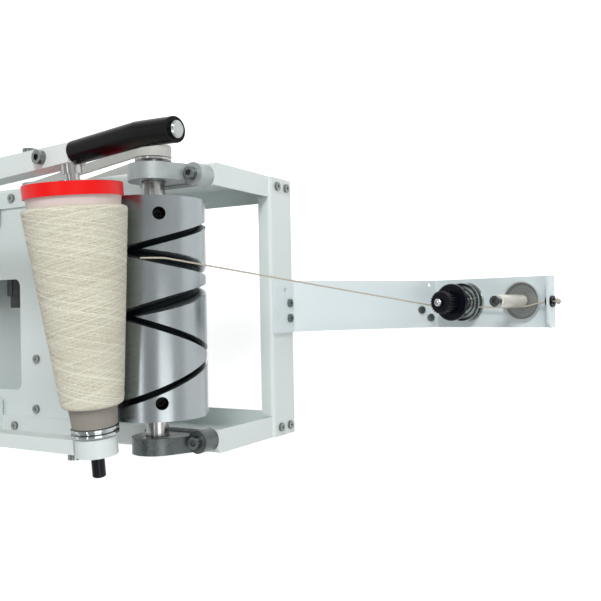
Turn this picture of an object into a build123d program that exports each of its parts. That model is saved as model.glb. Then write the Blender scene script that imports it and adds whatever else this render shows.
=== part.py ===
from build123d import *
import math
import os

# Yarn cone winder: a grooved drum turns a paper cone held in a swinging cradle,
# and a disc tensioner on a drop arm feeds the yarn.
# +X is the machine's right, +Y its back, +Z up; millimetres.
# Origin: middle of the four base bolts, on the underside of the frame.

os.makedirs("parts", exist_ok=True)

run_fit = 0.05                    # radial clearance of a running shaft
loose_fit = 0.3                   # radial clearance of a bolt in its hole
skin_gap = 0.35                   # gap between rolling or sliding skins
sink = 1.0                        # how far one primitive is sunk in another of the same piece

# grooved drum
drum_y = -110.0
drum_z = 145.0
drum_r = 41.0
drum_len = 172.0
drum_bore_r = 9.0
drum_dish_r = 34.0
drum_dish_boss_r = 15.0
drum_dish_depth = 5.0
traverse = 76.0                   # half stroke of the scroll groove
groove_zero = 40.0                # angle from the top of the drum to the law's zero
groove_step = 13.0                # degrees between sections of the groove
groove_w = 5.6
groove_depth = 7.0
groove_floor = 0.62               # floor width over mouth width
groove_over = 1.5                 # how far the cutter stands out of the skin
flare_w = 6.5                     # extra mouth width where the yarn leaves
flare_half = 100.0                # half length of a flare, degrees
stop_pocket_r = 3.2               # round pocket at each reversal
# the scroll law: drum angle in degrees and groove position, five turns a cycle
scroll_out = [(145, 76), (329, 43.5), (450, 28.4), (689, -6.9), (810, -35.6), (1003, -76)]
scroll_back = [(1003, -76), (1170, -40.4), (1409, -3.8), (1530, 16.4), (1769, 45), (1890, 68.4), (1945, 76)]
flare_out = 390.0
flare_back = 1470.0
key_hole_x = 72.0
key_hole_r = 5.0
key_hole_turn = 45.0              # from the top towards the front
key_hole_depth = 24.0
set_screw_r = 4.7
set_screw_len = 8.0
set_screw_hex = 2.6

# drum shaft and pulley
shaft_r = 8.0
shaft_left = -117.0
shaft_step_x = 102.0
shaft_nose_x = 117.5
shaft_nose_r = 6.0
shaft_right = 133.0
pulley_x0 = 118.8
pulley_x1 = 131.0
pulley_r = 12.0
pulley_lip = 1.6
pulley_lip_r = 2.6
rib_n = 4
rib_depth = 0.9
belt_x0 = 121.0
belt_x1 = 129.0
belt_t = 2.4

# sheet frame
frame_w = 236.0
frame_h = 120.0
frame_front = drum_y - 42.0
frame_back = drum_y + 270.0
sheet = 2.0
flange = 18.6
bend_r = 2.6
bar_h = 37.0
bar_lip = 10.8
deck_front = drum_y + 52.0
deck_lip_y = drum_y + 188.0
deck_lip_h = 16.0
recess_x0 = -75.0
recess_x1 = 31.0
recess_y1 = drum_y + 256.0
recess_r = 7.0
rear_h = 96.0
base_hole_x = 108.7
base_hole_y = 130.0
base_hole_r = 3.3

# drum brackets
bracket_x0 = 102.0
bracket_x1 = 115.3
hub_r = 20.5
bearing_r = 14.0
bearing_w = 10.0
foot_t = 6.0
foot_back = drum_y + 30.0
boss_y = drum_y - 33.0
boss_r = 9.2
boss_h = 17.0
boss_x = 106.8
bracket_bolt_r = 3.0
bracket_bolt_head_r = 5.0
bracket_bolt_head_h = 5.6
bracket_bolt_len = 14.0
rear_bolt_y = drum_y + 22.5
hex_socket_r = 2.9
hex_socket_depth = 3.0

# small screws
screw_r = 2.0
screw_head_r = 3.9
screw_head_h = 2.2
screw_len = 7.0
cross_w = 0.9
cross_depth = 1.0
bar_screw_x = 110.0
bar_screw_z = [9.0, 25.0]
deck_screw_xy = [(-92.0, drum_y + 167.5), (-45.0, drum_y + 166.5), (45.0, drum_y + 166.5), (92.0, drum_y + 167.5)]
flange_screw_x = 108.7
flange_screw_y = [drum_y + 78.0, drum_y + 195.0]

# motor
motor_y = drum_y + 214.0
motor_z = 64.0
motor_r = 36.0
motor_x0 = 4.0
motor_x1 = 112.0
motor_nose_r = 14.0
motor_cap_w = 12.0
motor_cap_r = 33.0
motor_fin_n = 18
motor_fin_r = 1.2
mplate_t = 4.0
mplate_w = 92.0
mplate_r = 6.0
mbolt_off = 36.0
mbolt_r = 2.5
mbolt_head_r = 4.3
mbolt_head_h = 2.4
mshaft_r = 5.0
mshaft_hole_r = 9.0
mpulley_r = 18.0
mshaft_x0 = 108.5

# cone and its chucks, measured along the cone's own axis from mid traverse
cone_y = drum_y + 7.7
cone_z = drum_z + 71.0
cone_tilt = 5.95
tube_s0 = -86.0
tube_s1 = 84.0
tube_r0 = 16.5
tube_r1 = 34.0
tube_wall = 2.4
yarn_s0 = -71.1
yarn_s1 = 74.3
yarn_corner = 3.4
rim_s1 = 90.5
rim_r = 35.6
rim_lip = 3.0
rim_bore_r = 22.0
chuck_s0 = 72.0
chuck_s1 = 93.0
chuck_face_r = 14.0
spindle_r = 5.5
spindle_s0 = -101.0
spindle_s1 = 112.0
ring_s0 = -93.6
ring_r = 17.6
ring_neck_r = 15.9
ring_nose = 10.0
ring_nose_r = 13.2
hub_s0 = -108.0
hub_ring_r = 15.5
hub_gap = 0.5
button_r = 5.0
button_s0 = -125.0
button_s1 = -106.0
button_flange_r = 6.6
button_seat = 5.0
button_travel = 3.0
sbear_r = 7.6
sbear_s0 = 98.5
sbear_s1 = 113.0

# cradle
pivot_y = drum_y + 232.0
pivot_z = 200.0
pivot_r = 6.0
pivot_half = 116.0
arm_h = 16.0
arm_t = 2.4
arm_nose = 8.0
rarm_x_out = 118.0
rarm_x_front = 104.0
rarm_x_rear = 97.0
rarm_rear = 13.0
larm_x0 = -108.0
larm_x1 = -97.0
lug_t = 6.4
lug_back = drum_y + 36.0
arm_bolt_r = 3.0
arm_bolt_head_r = 5.2
arm_bolt_head_h = 5.0
arm_nut_h = 4.0
grip_pts = [(112.0, drum_y - 1.0, 229.0), (115.0, drum_y - 66.0, 237.6), (113.4, drum_y - 98.0, 240.6)]
grip_w = 17.0
grip_h = 19.0
grip_bend = 22.0
grip_cap_r = 5.6
grip_cap_h = 3.0
tang_w = 7.0
tang_h = 8.0
tang_len = 62.0
ear_x0 = 84.0
ear_x1 = 89.0
ear_r = 13.0
ear_foot_y0 = pivot_y - 20.0
ear_foot_y1 = pivot_y + 20.0
ear_foot_x1 = 116.0
ear_foot_t = 4.0
ear_bolt_y = 12.0
ear_bolt_x = 108.7
pivot_nut_r = 8.5
pivot_nut_h = 5.0

# yarn arm: face of the bar, slope down to the knee, end plate rising forward
arm_w = 48.0
plate_t = 2.5
tab_top = 34.5
slope_top = 1.0
knee_y = drum_y - 139.0
knee_z = -132.0
plate_rise = 14.2
plate_len = 129.0
lip_h = 12.5
sheet_bend = 4.0
lip_bend = 2.2
lip_corner = 6.0
tab_screw = [(3.0, 10.0), (-11.0, 10.0)]
tab_hole = (15.0, 17.0)
tab_hole_r = 2.2
knee_screw = [(-6.0, 20.0), (-14.0, 9.0)]   # across, and up the slope from the knee
knee_hole = (19.5, 9.0)
knee_hole_r = 2.0

# tensioner and guide, by distance along the end plate and height over it
tens_t = 37.0
tens_x = 1.0
stud_r = 3.0
stud_h = 54.0
disc_r = 19.5
disc_t = 0.9
disc_dish = 3.2
disc_flat_r = 9.0
disc_h = 6.2                      # height of the pinch plane
disc_gap = 1.9
collar_r = 6.5
seat_h = 4.0
washer_h = 1.2
washer_r = 7.6
washer_bore_r = 3.6
tension_travel = 2.4              # knob travel each way, three turns of the thread
spring_wire_r = 0.65
spring_r = 5.4
spring_turns = 5.0
spring_clear = 0.5                # gap left at either end of the spring
knob_flange_h = 27.0
knob_flange_r = 18.0
knob_flange_t = 4.0
knob_hub_r = 11.0
knob_hub_h = 18.0
knob_bore_r = 4.2
knob_flutes = 24
knob_flute_r = 1.1
stud_nut_r = 5.0
stud_nut_h = 3.0
guide_t = 97.0
guide_x = 1.0
dish_r = 18.5
dish_h = 4.0
sleeve_r = 6.0
sleeve_bore_r = 3.1
sleeve_base = 5.0
sleeve_top = 48.0
guide_bolt_r = 3.0
guide_head_r = 5.0
guide_head_h = 5.0
eyelet_r = 5.2
eyelet_bore_r = 2.6
eyelet_w = 6.0
eyelet_h = 6.6
eyelet_rim = 1.4

# yarn strand
yarn_r = 0.7
leave_gap = 3.0                   # how far outside the discs the strand turns up
knot_r = 3.2


def scroll_x(turn, law):
    """Groove position at a drum angle: a cubic through the law, flat at both reversals."""
    slopes = [0.0]
    for before, after in zip(law, law[2:]):
        slopes.append((after[1] - before[1]) / (after[0] - before[0]))
    slopes.append(0.0)
    for i, (low, high) in enumerate(zip(law, law[1:])):
        if turn <= high[0]:
            break
    span = high[0] - low[0]
    s = (turn - low[0]) / span
    rise = slopes[i] * (s ** 3 - 2 * s ** 2 + s) + slopes[i + 1] * (s ** 3 - s ** 2)
    return low[1] * (2 * s ** 3 - 3 * s ** 2 + 1) + high[1] * (3 * s ** 2 - 2 * s ** 3) + span * rise


def drum_plane(turn):
    """Half plane through the drum axis: local x along the drum, local y outward."""
    angle = math.radians(turn)
    outward = Vector(0, -math.sin(angle), math.cos(angle))
    return Plane(origin=(0, drum_y, drum_z), x_dir=(1, 0, 0), z_dir=Vector(1, 0, 0).cross(outward))


tilt = math.radians(cone_tilt)
cone_axis = (math.cos(tilt), 0, math.sin(tilt))
cone_mid = Vector(0, cone_y, cone_z)
cone_plane = Plane(origin=cone_mid, x_dir=cone_axis, z_dir=(0, -1, 0))
cone_turn = Axis(cone_mid, cone_axis)
nip_r = (math.hypot(cone_y - drum_y, cone_z - drum_z) - drum_r - skin_gap) / math.cos(tilt)


def cone_at(s):
    """Plane square to the cone's axis at distance s from mid traverse."""
    return Plane(origin=cone_mid + Vector(*cone_axis) * s, x_dir=(0, 1, 0), z_dir=cone_axis)


def yarn_skin(s):
    """Radius of the wound package, so that it lies along the drum."""
    return nip_r + s * math.tan(tilt)


def tube_skin(s):
    return tube_r0 + (tube_r1 - tube_r0) * (s - tube_s0) / (tube_s1 - tube_s0)


rise = math.radians(plate_rise)
plate_dir = Vector(0, -math.cos(rise), math.sin(rise))
plate_up = Vector(0, math.sin(rise), math.cos(rise))
knee = Vector(0, knee_y, knee_z)


def over_plate(x, t, h):
    """Point over the end plate's top face."""
    return knee + plate_dir * t + plate_up * h + Vector(x, 0, 0)


def on_plate(x, t, h):
    """Plane parallel to the end plate at height h, normal away from it."""
    return Plane(origin=over_plate(x, t, h), x_dir=(1, 0, 0), z_dir=plate_up)


# ---- grooved drum -------------------------------------------------------------------------
groove_cutters = []
for law, flare_mid in ((scroll_out, flare_out), (scroll_back, flare_back)):
    first = law[0][0]
    last = law[-1][0]
    steps = round((last - first) / groove_step)
    with BuildPart() as cutter:
        for i in range(steps + 1):
            turn = first + (last - first) * i / steps
            x = scroll_x(turn, law)
            away = abs(turn - flare_mid) / flare_half
            flare = flare_w * math.cos(away * math.pi / 2) ** 2 if away < 1 else 0.0
            mouth = (groove_w + flare) / 2
            floor = groove_w * groove_floor / 2
            with BuildSketch(drum_plane(turn + groove_zero)):
                with BuildLine():
                    Polyline(
                        (x - floor, drum_r - groove_depth),
                        (x + floor, drum_r - groove_depth),
                        (x + mouth, drum_r + groove_over),
                        (x - mouth, drum_r + groove_over),
                        close=True,
                    )
                make_face()
        loft(ruled=True)
    groove_cutters.append(cutter.part)

with BuildPart() as drum:
    with BuildSketch(Plane.YZ.offset(-drum_len / 2)):
        with Locations((drum_y, drum_z)):
            Circle(drum_r)
            Circle(drum_bore_r, mode=Mode.SUBTRACT)
    extrude(amount=drum_len)
    for end in (-1, 1):
        with BuildSketch(Plane.YZ.offset(end * drum_len / 2)):
            with Locations((drum_y, drum_z)):
                Circle(drum_dish_r)
                Circle(drum_dish_boss_r, mode=Mode.SUBTRACT)
        extrude(amount=-end * drum_dish_depth, mode=Mode.SUBTRACT)
    for cutter_part in groove_cutters:
        add(cutter_part, mode=Mode.SUBTRACT)
    for turn, x in (scroll_out[0], scroll_out[-1]):
        here = drum_plane(turn + groove_zero)
        outward = here.y_dir
        with BuildSketch(Plane(origin=here.origin + Vector(x, 0, 0), x_dir=(1, 0, 0), z_dir=outward).offset(
                drum_r - groove_depth - skin_gap)):
            Circle(stop_pocket_r)
        extrude(amount=groove_depth + groove_over, mode=Mode.SUBTRACT)
    key_out = drum_plane(key_hole_turn).y_dir
    for side in (-1, 1):
        hole_at = Vector(side * key_hole_x, drum_y, drum_z)
        with BuildSketch(Plane(origin=hole_at, x_dir=(1, 0, 0), z_dir=key_out).offset(drum_r - key_hole_depth)):
            Circle(key_hole_r)
        extrude(amount=key_hole_depth + groove_over, mode=Mode.SUBTRACT)
drum.part.label = "drum"
export_step(drum.part, "parts/drum.step")

with BuildPart() as drum_set_screws:
    for side in (-1, 1):
        screw_at = Vector(side * key_hole_x, drum_y, drum_z)
        with BuildSketch(Plane(origin=screw_at, x_dir=(1, 0, 0), z_dir=key_out).offset(drum_r - key_hole_depth)):
            Circle(set_screw_r)
        extrude(amount=set_screw_len)
        with BuildSketch(Plane(origin=screw_at, x_dir=(1, 0, 0), z_dir=key_out).offset(
                drum_r - key_hole_depth + set_screw_len)):
            RegularPolygon(set_screw_hex, 6)
        extrude(amount=-set_screw_len / 2, mode=Mode.SUBTRACT)
drum_set_screws.part.label = "drum_set_screws"
export_step(drum_set_screws.part, "parts/drum_set_screws.step")

with BuildPart() as drum_shaft:
    for x0, x1, r in (
        (-shaft_step_x, shaft_step_x, drum_bore_r),
        (shaft_left, -shaft_step_x, shaft_r),
        (shaft_step_x, shaft_nose_x, shaft_r),
        (shaft_nose_x, shaft_right, shaft_nose_r),
    ):
        with BuildSketch(Plane.YZ.offset(x0)):
            with Locations((drum_y, drum_z)):
                Circle(r)
        extrude(amount=x1 - x0)
    shaft_ends = drum_shaft.faces().sort_by(Axis.X)
    chamfer(shaft_ends[0].edges() + shaft_ends[-1].edges(), run_fit * 16)
drum_shaft.part.label = "drum_shaft"
export_step(drum_shaft.part, "parts/drum_shaft.step")

for name, y, z, r, bore in (
    ("drive_pulley", drum_y, drum_z, pulley_r, shaft_nose_r),
    ("motor_pulley", motor_y, motor_z, mpulley_r, mshaft_r),
):
    with BuildPart() as pulley:
        with BuildSketch(Plane.XY):
            with BuildLine():
                rib = (belt_x1 - belt_x0) / rib_n
                pts = [(pulley_x0, 0), (pulley_x0, r + pulley_lip_r), (pulley_x0 + pulley_lip, r + pulley_lip_r)]
                pts.append((pulley_x0 + pulley_lip, r))
                for k in range(rib_n):
                    pts.append((belt_x0 + rib * k, r))
                    pts.append((belt_x0 + rib * (k + 0.5), r - rib_depth))
                pts.append((belt_x1, r))
                pts.append((pulley_x1 - pulley_lip, r))
                pts.append((pulley_x1 - pulley_lip, r + pulley_lip_r))
                pts.append((pulley_x1, r + pulley_lip_r))
                pts.append((pulley_x1, 0))
                Polyline(*pts, close=True)
            make_face()
        revolve(axis=Axis.X)
        with BuildSketch(Plane.YZ.offset(pulley_x0)):
            Circle(bore)
        extrude(amount=pulley_x1 - pulley_x0, mode=Mode.SUBTRACT)
    pulley_part = pulley.part.moved(Location((0, y, z)))
    pulley_part.label = name
    export_step(pulley_part, "parts/" + name + ".step")

with BuildPart() as drive_belt:
    with BuildSketch(Plane.YZ.offset(belt_x0)):
        with Locations((drum_y, drum_z)):
            Circle(pulley_r + skin_gap + belt_t)
        with Locations((motor_y, motor_z)):
            Circle(mpulley_r + skin_gap + belt_t)
        make_hull()
    extrude(amount=belt_x1 - belt_x0)
    with BuildSketch(Plane.YZ.offset(belt_x0)):
        with Locations((drum_y, drum_z)):
            Circle(pulley_r + skin_gap)
        with Locations((motor_y, motor_z)):
            Circle(mpulley_r + skin_gap)
        make_hull()
    extrude(amount=belt_x1 - belt_x0, mode=Mode.SUBTRACT)
drive_belt.part.label = "drive_belt"
export_step(drive_belt.part, "parts/drive_belt.step")

# ---- sheet frame --------------------------------------------------------------------------
frame_len = frame_back - frame_front
for name, side in (("side_panel_right", 1), ("side_panel_left", -1)):
    outer_x = side * frame_w / 2
    inner_x = side * (frame_w / 2 - flange)
    with BuildPart() as panel:
        with BuildSketch(Plane.XZ.offset(-frame_front)):
            with BuildLine():
                FilletPolyline(
                    (inner_x, frame_h - sheet / 2),
                    (outer_x - side * sheet / 2, frame_h - sheet / 2),
                    (outer_x - side * sheet / 2, sheet / 2),
                    (inner_x, sheet / 2),
                    radius=bend_r,
                )
            trace(line_width=sheet)
        extrude(amount=-frame_len)
        for end_y, inward in ((frame_front, 1), (frame_back, -1)):
            with BuildSketch(Plane.XZ.offset(-end_y)):
                with Locations(((outer_x + inner_x) / 2 - side * sheet / 2, frame_h / 2)):
                    Rectangle(flange - sheet, frame_h - sheet)
            extrude(amount=-inward * sheet)
        for y in (boss_y, rear_bolt_y):
            with BuildSketch(Plane.XY.offset(frame_h - 2 * sheet)):
                with Locations((side * boss_x, y)):
                    Circle(bracket_bolt_r + loose_fit)
            extrude(amount=3 * sheet, mode=Mode.SUBTRACT)
        for y in flange_screw_y:
            with BuildSketch(Plane.XY.offset(frame_h - 2 * sheet)):
                with Locations((side * flange_screw_x, y)):
                    Circle(screw_r + loose_fit)
            extrude(amount=3 * sheet, mode=Mode.SUBTRACT)
        for y in (pivot_y - ear_bolt_y, pivot_y + ear_bolt_y):
            with BuildSketch(Plane.XY.offset(frame_h - 2 * sheet)):
                with Locations((side * ear_bolt_x, y)):
                    Circle(bracket_bolt_r + loose_fit)
            extrude(amount=3 * sheet, mode=Mode.SUBTRACT)
        for y in (-base_hole_y, base_hole_y):
            with BuildSketch(Plane.XY.offset(-sheet)):
                with Locations((side * base_hole_x, y)):
                    Circle(base_hole_r)
            extrude(amount=3 * sheet, mode=Mode.SUBTRACT)
        for z in bar_screw_z:
            with BuildSketch(Plane.XZ.offset(-frame_front + sheet)):
                with Locations((side * bar_screw_x, z)):
                    Circle(screw_r + loose_fit)
            extrude(amount=-3 * sheet, mode=Mode.SUBTRACT)
        if side > 0:
            with BuildSketch(Plane.YZ.offset(frame_w / 2 - 2 * sheet)):
                with Locations((motor_y, motor_z)):
                    Circle(mshaft_hole_r)
                for dy in (-mbolt_off, mbolt_off):
                    for dz in (-mbolt_off, mbolt_off):
                        with Locations((motor_y + dy, motor_z + dz)):
                            Circle(mbolt_r + loose_fit)
            extrude(amount=3 * sheet, mode=Mode.SUBTRACT)
    panel.part.label = name
    export_step(panel.part, "parts/" + name + ".step")

with BuildPart() as front_bar:
    with BuildSketch(Plane.YZ.offset(-frame_w / 2)):
        with BuildLine():
            FilletPolyline(
                (frame_front - sheet / 2, 0),
                (frame_front - sheet / 2, bar_h - sheet / 2),
                (frame_front + bar_lip, bar_h - sheet / 2),
                radius=bend_r,
            )
        trace(line_width=sheet)
    extrude(amount=frame_w)
    for side in (-1, 1):
        with BuildSketch(Plane.XY.offset(bar_h - 2 * sheet)):
            with Locations((side * (frame_w / 2 - flange / 2), frame_front + frame_w / 2)):
                Rectangle(flange + 2 * skin_gap, frame_w)
        extrude(amount=3 * sheet, mode=Mode.SUBTRACT)
        with BuildSketch(Plane.XZ.offset(-frame_front + 2 * sheet)):
            for z in bar_screw_z:
                with Locations((side * bar_screw_x, z)):
                    Circle(screw_r + loose_fit)
        extrude(amount=-3 * sheet, mode=Mode.SUBTRACT)
    with BuildSketch(Plane.XZ.offset(-frame_front + 2 * sheet)):
        for x, z in tab_screw:
            with Locations((x, z)):
                Circle(screw_r + loose_fit)
    extrude(amount=-3 * sheet, mode=Mode.SUBTRACT)
front_bar.part.label = "front_bar"
export_step(front_bar.part, "parts/front_bar.step")

deck_top = frame_h - sheet
deck_w = frame_w - 2 * sheet - 2 * bend_r
deck_back = frame_back - sheet - skin_gap
with BuildPart() as deck_plate:
    with BuildSketch(Plane.XY.offset(deck_top - sheet)):
        with Locations((0, (deck_front + deck_back) / 2)):
            Rectangle(deck_w, deck_back - deck_front)
    extrude(amount=sheet)
    with BuildSketch(Plane.XY.offset(deck_top - 2 * sheet)):
        with Locations(((recess_x0 + recess_x1) / 2, (deck_lip_y + recess_y1) / 2)):
            RectangleRounded(recess_x1 - recess_x0, recess_y1 - deck_lip_y, recess_r)
        for x, y in deck_screw_xy:
            with Locations((x, y)):
                Circle(screw_r + loose_fit)
        for side in (-1, 1):
            for y in flange_screw_y:
                with Locations((side * flange_screw_x, y)):
                    Circle(screw_r + loose_fit)
            for y in (pivot_y - ear_bolt_y, pivot_y + ear_bolt_y):
                with Locations((side * ear_bolt_x, y)):
                    Circle(bracket_bolt_r + loose_fit)
    extrude(amount=3 * sheet, mode=Mode.SUBTRACT)
    for y, x0, x1 in (
        (deck_front, -deck_w / 2 + flange, deck_w / 2 - flange),
        (deck_lip_y - sheet, recess_x0 + recess_r, recess_x1 - recess_r),
    ):
        with BuildSketch(Plane.XY.offset(deck_top - deck_lip_h)):
            with Locations(((x0 + x1) / 2, y + sheet / 2)):
                Rectangle(x1 - x0, sheet)
        extrude(amount=deck_lip_h - sheet / 2)
deck_plate.part.label = "deck_plate"
export_step(deck_plate.part, "parts/deck_plate.step")

rear_w = frame_w - 2 * flange - 2 * skin_gap
with BuildPart() as rear_panel:
    with BuildSketch(Plane.XY.offset(sheet)):
        with Locations((0, frame_back - sheet / 2)):
            Rectangle(rear_w, sheet)
    extrude(amount=rear_h)
    with BuildSketch(Plane.XY.offset(sheet)):
        with Locations((0, frame_back - sheet - sheet / 2)):
            Rectangle(deck_w, sheet)
    extrude(amount=rear_h)
rear_panel.part.label = "rear_panel"
export_step(rear_panel.part, "parts/rear_panel.step")

# ---- drum brackets and bearings -----------------------------------------------------------
for name, side in (("drum_bracket_right", 1), ("drum_bracket_left", -1)):
    with BuildPart() as bracket:
        with BuildSketch(Plane.YZ.offset(side * bracket_x0)):
            with Locations((drum_y, drum_z)):
                Circle(hub_r)
            with Locations(((boss_y + foot_back) / 2, frame_h + foot_t / 2)):
                Rectangle(foot_back - boss_y, foot_t)
            make_hull()
        extrude(amount=side * (bracket_x1 - bracket_x0))
        with BuildSketch(Plane.XY.offset(frame_h)):
            with Locations((side * boss_x, boss_y)):
                Circle(boss_r)
        extrude(amount=boss_h)
        with BuildSketch(Plane.XY.offset(frame_h + foot_t)):
            with Locations((side * boss_x, rear_bolt_y + foot_t)):
                Rectangle(2 * boss_r, 2 * boss_r + foot_t)
        extrude(amount=hub_r, mode=Mode.SUBTRACT)
        with BuildSketch(Plane.YZ.offset(side * bracket_x0)):
            with Locations((drum_y, drum_z)):
                Circle(hub_r)
        extrude(amount=side * (bracket_x1 - bracket_x0))
        with BuildSketch(Plane.YZ.offset(side * (bracket_x0 - sink))):
            with Locations((drum_y, drum_z)):
                Circle(shaft_r + sheet)
        extrude(amount=side * (bracket_x1 - bracket_x0 + 2 * sink), mode=Mode.SUBTRACT)
        with BuildSketch(Plane.YZ.offset(side * (bracket_x1 + sink))):
            with Locations((drum_y, drum_z)):
                Circle(bearing_r)
        extrude(amount=-side * (bearing_w + sink), mode=Mode.SUBTRACT)
        with BuildSketch(Plane.XY.offset(frame_h - sink)):
            for y in (boss_y, rear_bolt_y):
                with Locations((side * boss_x, y)):
                    Circle(bracket_bolt_r + loose_fit)
        extrude(amount=boss_h + 2 * sink, mode=Mode.SUBTRACT)
    bracket.part.label = name
    export_step(bracket.part, "parts/" + name + ".step")

for name, side in (("bearing_right", 1), ("bearing_left", -1)):
    with BuildPart() as bearing:
        with BuildSketch(Plane.YZ.offset(side * bracket_x1)):
            with Locations((drum_y, drum_z)):
                Circle(bearing_r)
                Circle(shaft_r + run_fit, mode=Mode.SUBTRACT)
        extrude(amount=-side * bearing_w)
        with BuildSketch(Plane.YZ.offset(side * bracket_x1)):
            with Locations((drum_y, drum_z)):
                Circle(bearing_r - 2 * sheet / 2)
                Circle(shaft_r + sheet, mode=Mode.SUBTRACT)
        extrude(amount=-side * sheet / 2, mode=Mode.SUBTRACT)
    bearing.part.label = name
    export_step(bearing.part, "parts/" + name + ".step")

with BuildPart() as bracket_bolts:
    for side in (-1, 1):
        for y, top in ((boss_y, frame_h + boss_h), (rear_bolt_y, frame_h + foot_t)):
            with BuildSketch(Plane.XY.offset(top - bracket_bolt_len - (top - frame_h))):
                with Locations((side * boss_x, y)):
                    Circle(bracket_bolt_r)
            extrude(amount=bracket_bolt_len + top - frame_h)
            with BuildSketch(Plane.XY.offset(top)):
                with Locations((side * boss_x, y)):
                    Circle(bracket_bolt_head_r)
            extrude(amount=bracket_bolt_head_h)
            with BuildSketch(Plane.XY.offset(top + bracket_bolt_head_h)):
                with Locations((side * boss_x, y)):
                    RegularPolygon(hex_socket_r, 6)
            extrude(amount=-hex_socket_depth, mode=Mode.SUBTRACT)
bracket_bolts.part.label = "bracket_bolts"
export_step(bracket_bolts.part, "parts/bracket_bolts.step")

with BuildPart() as bar_screws:
    for side in (-1, 1):
        for z in bar_screw_z:
            with BuildSketch(Plane.XZ.offset(-frame_front + sheet)):
                with Locations((side * bar_screw_x, z)):
                    Circle(screw_head_r)
            extrude(amount=screw_head_h)
            with BuildSketch(Plane.XZ.offset(-frame_front + sheet)):
                with Locations((side * bar_screw_x, z)):
                    Circle(screw_r)
            extrude(amount=-screw_len)
            with BuildSketch(Plane.XZ.offset(-frame_front + sheet + screw_head_h)):
                with Locations((side * bar_screw_x, z)):
                    Rectangle(screw_head_r, cross_w)
                    Rectangle(cross_w, screw_head_r)
            extrude(amount=-cross_depth, mode=Mode.SUBTRACT)
bar_screws.part.label = "bar_screws"
export_step(bar_screws.part, "parts/bar_screws.step")

deck_screw_spots = [(x, y, deck_top) for x, y in deck_screw_xy]
for side in (-1, 1):
    for y in flange_screw_y:
        deck_screw_spots.append((side * flange_screw_x, y, frame_h))
with BuildPart() as deck_screws:
    for x, y, top in deck_screw_spots:
        with BuildSketch(Plane.XY.offset(top)):
            with Locations((x, y)):
                Circle(screw_head_r)
        extrude(amount=screw_head_h)
        with BuildSketch(Plane.XY.offset(top - screw_len)):
            with Locations((x, y)):
                Circle(screw_r)
        extrude(amount=screw_len)
        with BuildSketch(Plane.XY.offset(top + screw_head_h)):
            with Locations((x, y)):
                Rectangle(screw_head_r, cross_w)
                Rectangle(cross_w, screw_head_r)
        extrude(amount=-cross_depth, mode=Mode.SUBTRACT)
deck_screws.part.label = "deck_screws"
export_step(deck_screws.part, "parts/deck_screws.step")

# ---- motor --------------------------------------------------------------------------------
with BuildPart() as motor_housing:
    with BuildSketch(Plane.YZ.offset(motor_x0)):
        with Locations((motor_y, motor_z)):
            Circle(motor_cap_r)
    extrude(amount=motor_cap_w)
    with BuildSketch(Plane.YZ.offset(motor_x0 + motor_cap_w)):
        with Locations((motor_y, motor_z)):
            Circle(motor_r)
            with PolarLocations(motor_r, motor_fin_n):
                Circle(motor_fin_r, mode=Mode.SUBTRACT)
    extrude(amount=motor_x1 - motor_x0 - motor_cap_w)
    with BuildSketch(Plane.YZ.offset(motor_x1)):
        with Locations((motor_y, motor_z)):
            Circle(motor_nose_r)
    extrude(amount=mplate_t - skin_gap)
    with BuildSketch(Plane.YZ.offset(mshaft_x0 - sink)):
        with Locations((motor_y, motor_z)):
            Circle(mshaft_r + run_fit)
    extrude(amount=motor_x1 + mplate_t - mshaft_x0 + sink, mode=Mode.SUBTRACT)
motor_housing.part.label = "motor_housing"
export_step(motor_housing.part, "parts/motor_housing.step")

with BuildPart() as motor_plate:
    with BuildSketch(Plane.YZ.offset(motor_x1)):
        with Locations((motor_y, motor_z)):
            RectangleRounded(mplate_w, mplate_w, mplate_r)
            Circle(motor_nose_r, mode=Mode.SUBTRACT)
        for dy in (-mbolt_off, mbolt_off):
            for dz in (-mbolt_off, mbolt_off):
                with Locations((motor_y + dy, motor_z + dz)):
                    Circle(mbolt_r + loose_fit, mode=Mode.SUBTRACT)
    extrude(amount=mplate_t)
motor_plate.part.label = "motor_plate"
export_step(motor_plate.part, "parts/motor_plate.step")

with BuildPart() as motor_bolts:
    for dy in (-mbolt_off, mbolt_off):
        for dz in (-mbolt_off, mbolt_off):
            with BuildSketch(Plane.YZ.offset(frame_w / 2)):
                with Locations((motor_y + dy, motor_z + dz)):
                    Circle(mbolt_head_r)
            extrude(amount=mbolt_head_h)
            with BuildSketch(Plane.YZ.offset(frame_w / 2)):
                with Locations((motor_y + dy, motor_z + dz)):
                    Circle(mbolt_r)
            extrude(amount=-(sheet + 2 * mplate_t))
            with BuildSketch(Plane.YZ.offset(frame_w / 2 + mbolt_head_h)):
                with Locations((motor_y + dy, motor_z + dz)):
                    RegularPolygon(mbolt_r, 6)
            extrude(amount=-mbolt_head_h / 2, mode=Mode.SUBTRACT)
motor_bolts.part.label = "motor_bolts"
export_step(motor_bolts.part, "parts/motor_bolts.step")

with BuildPart() as motor_shaft:
    with BuildSketch(Plane.YZ.offset(mshaft_x0)):
        with Locations((motor_y, motor_z)):
            Circle(mshaft_r)
    extrude(amount=shaft_right - mshaft_x0)
motor_shaft.part.label = "motor_shaft"
export_step(motor_shaft.part, "parts/motor_shaft.step")

# ---- cone, package and chucks -------------------------------------------------------------
with BuildPart() as paper_tube:
    with BuildSketch(cone_plane):
        with BuildLine():
            Polyline(
                (tube_s0, tube_skin(tube_s0)),
                (tube_s1, tube_skin(tube_s1)),
                (tube_s1, tube_skin(tube_s1) - tube_wall),
                (tube_s0, tube_skin(tube_s0) - tube_wall),
                close=True,
            )
        make_face()
    revolve(axis=cone_turn)
paper_tube.part.label = "paper_tube"
export_step(paper_tube.part, "parts/paper_tube.step")

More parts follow.
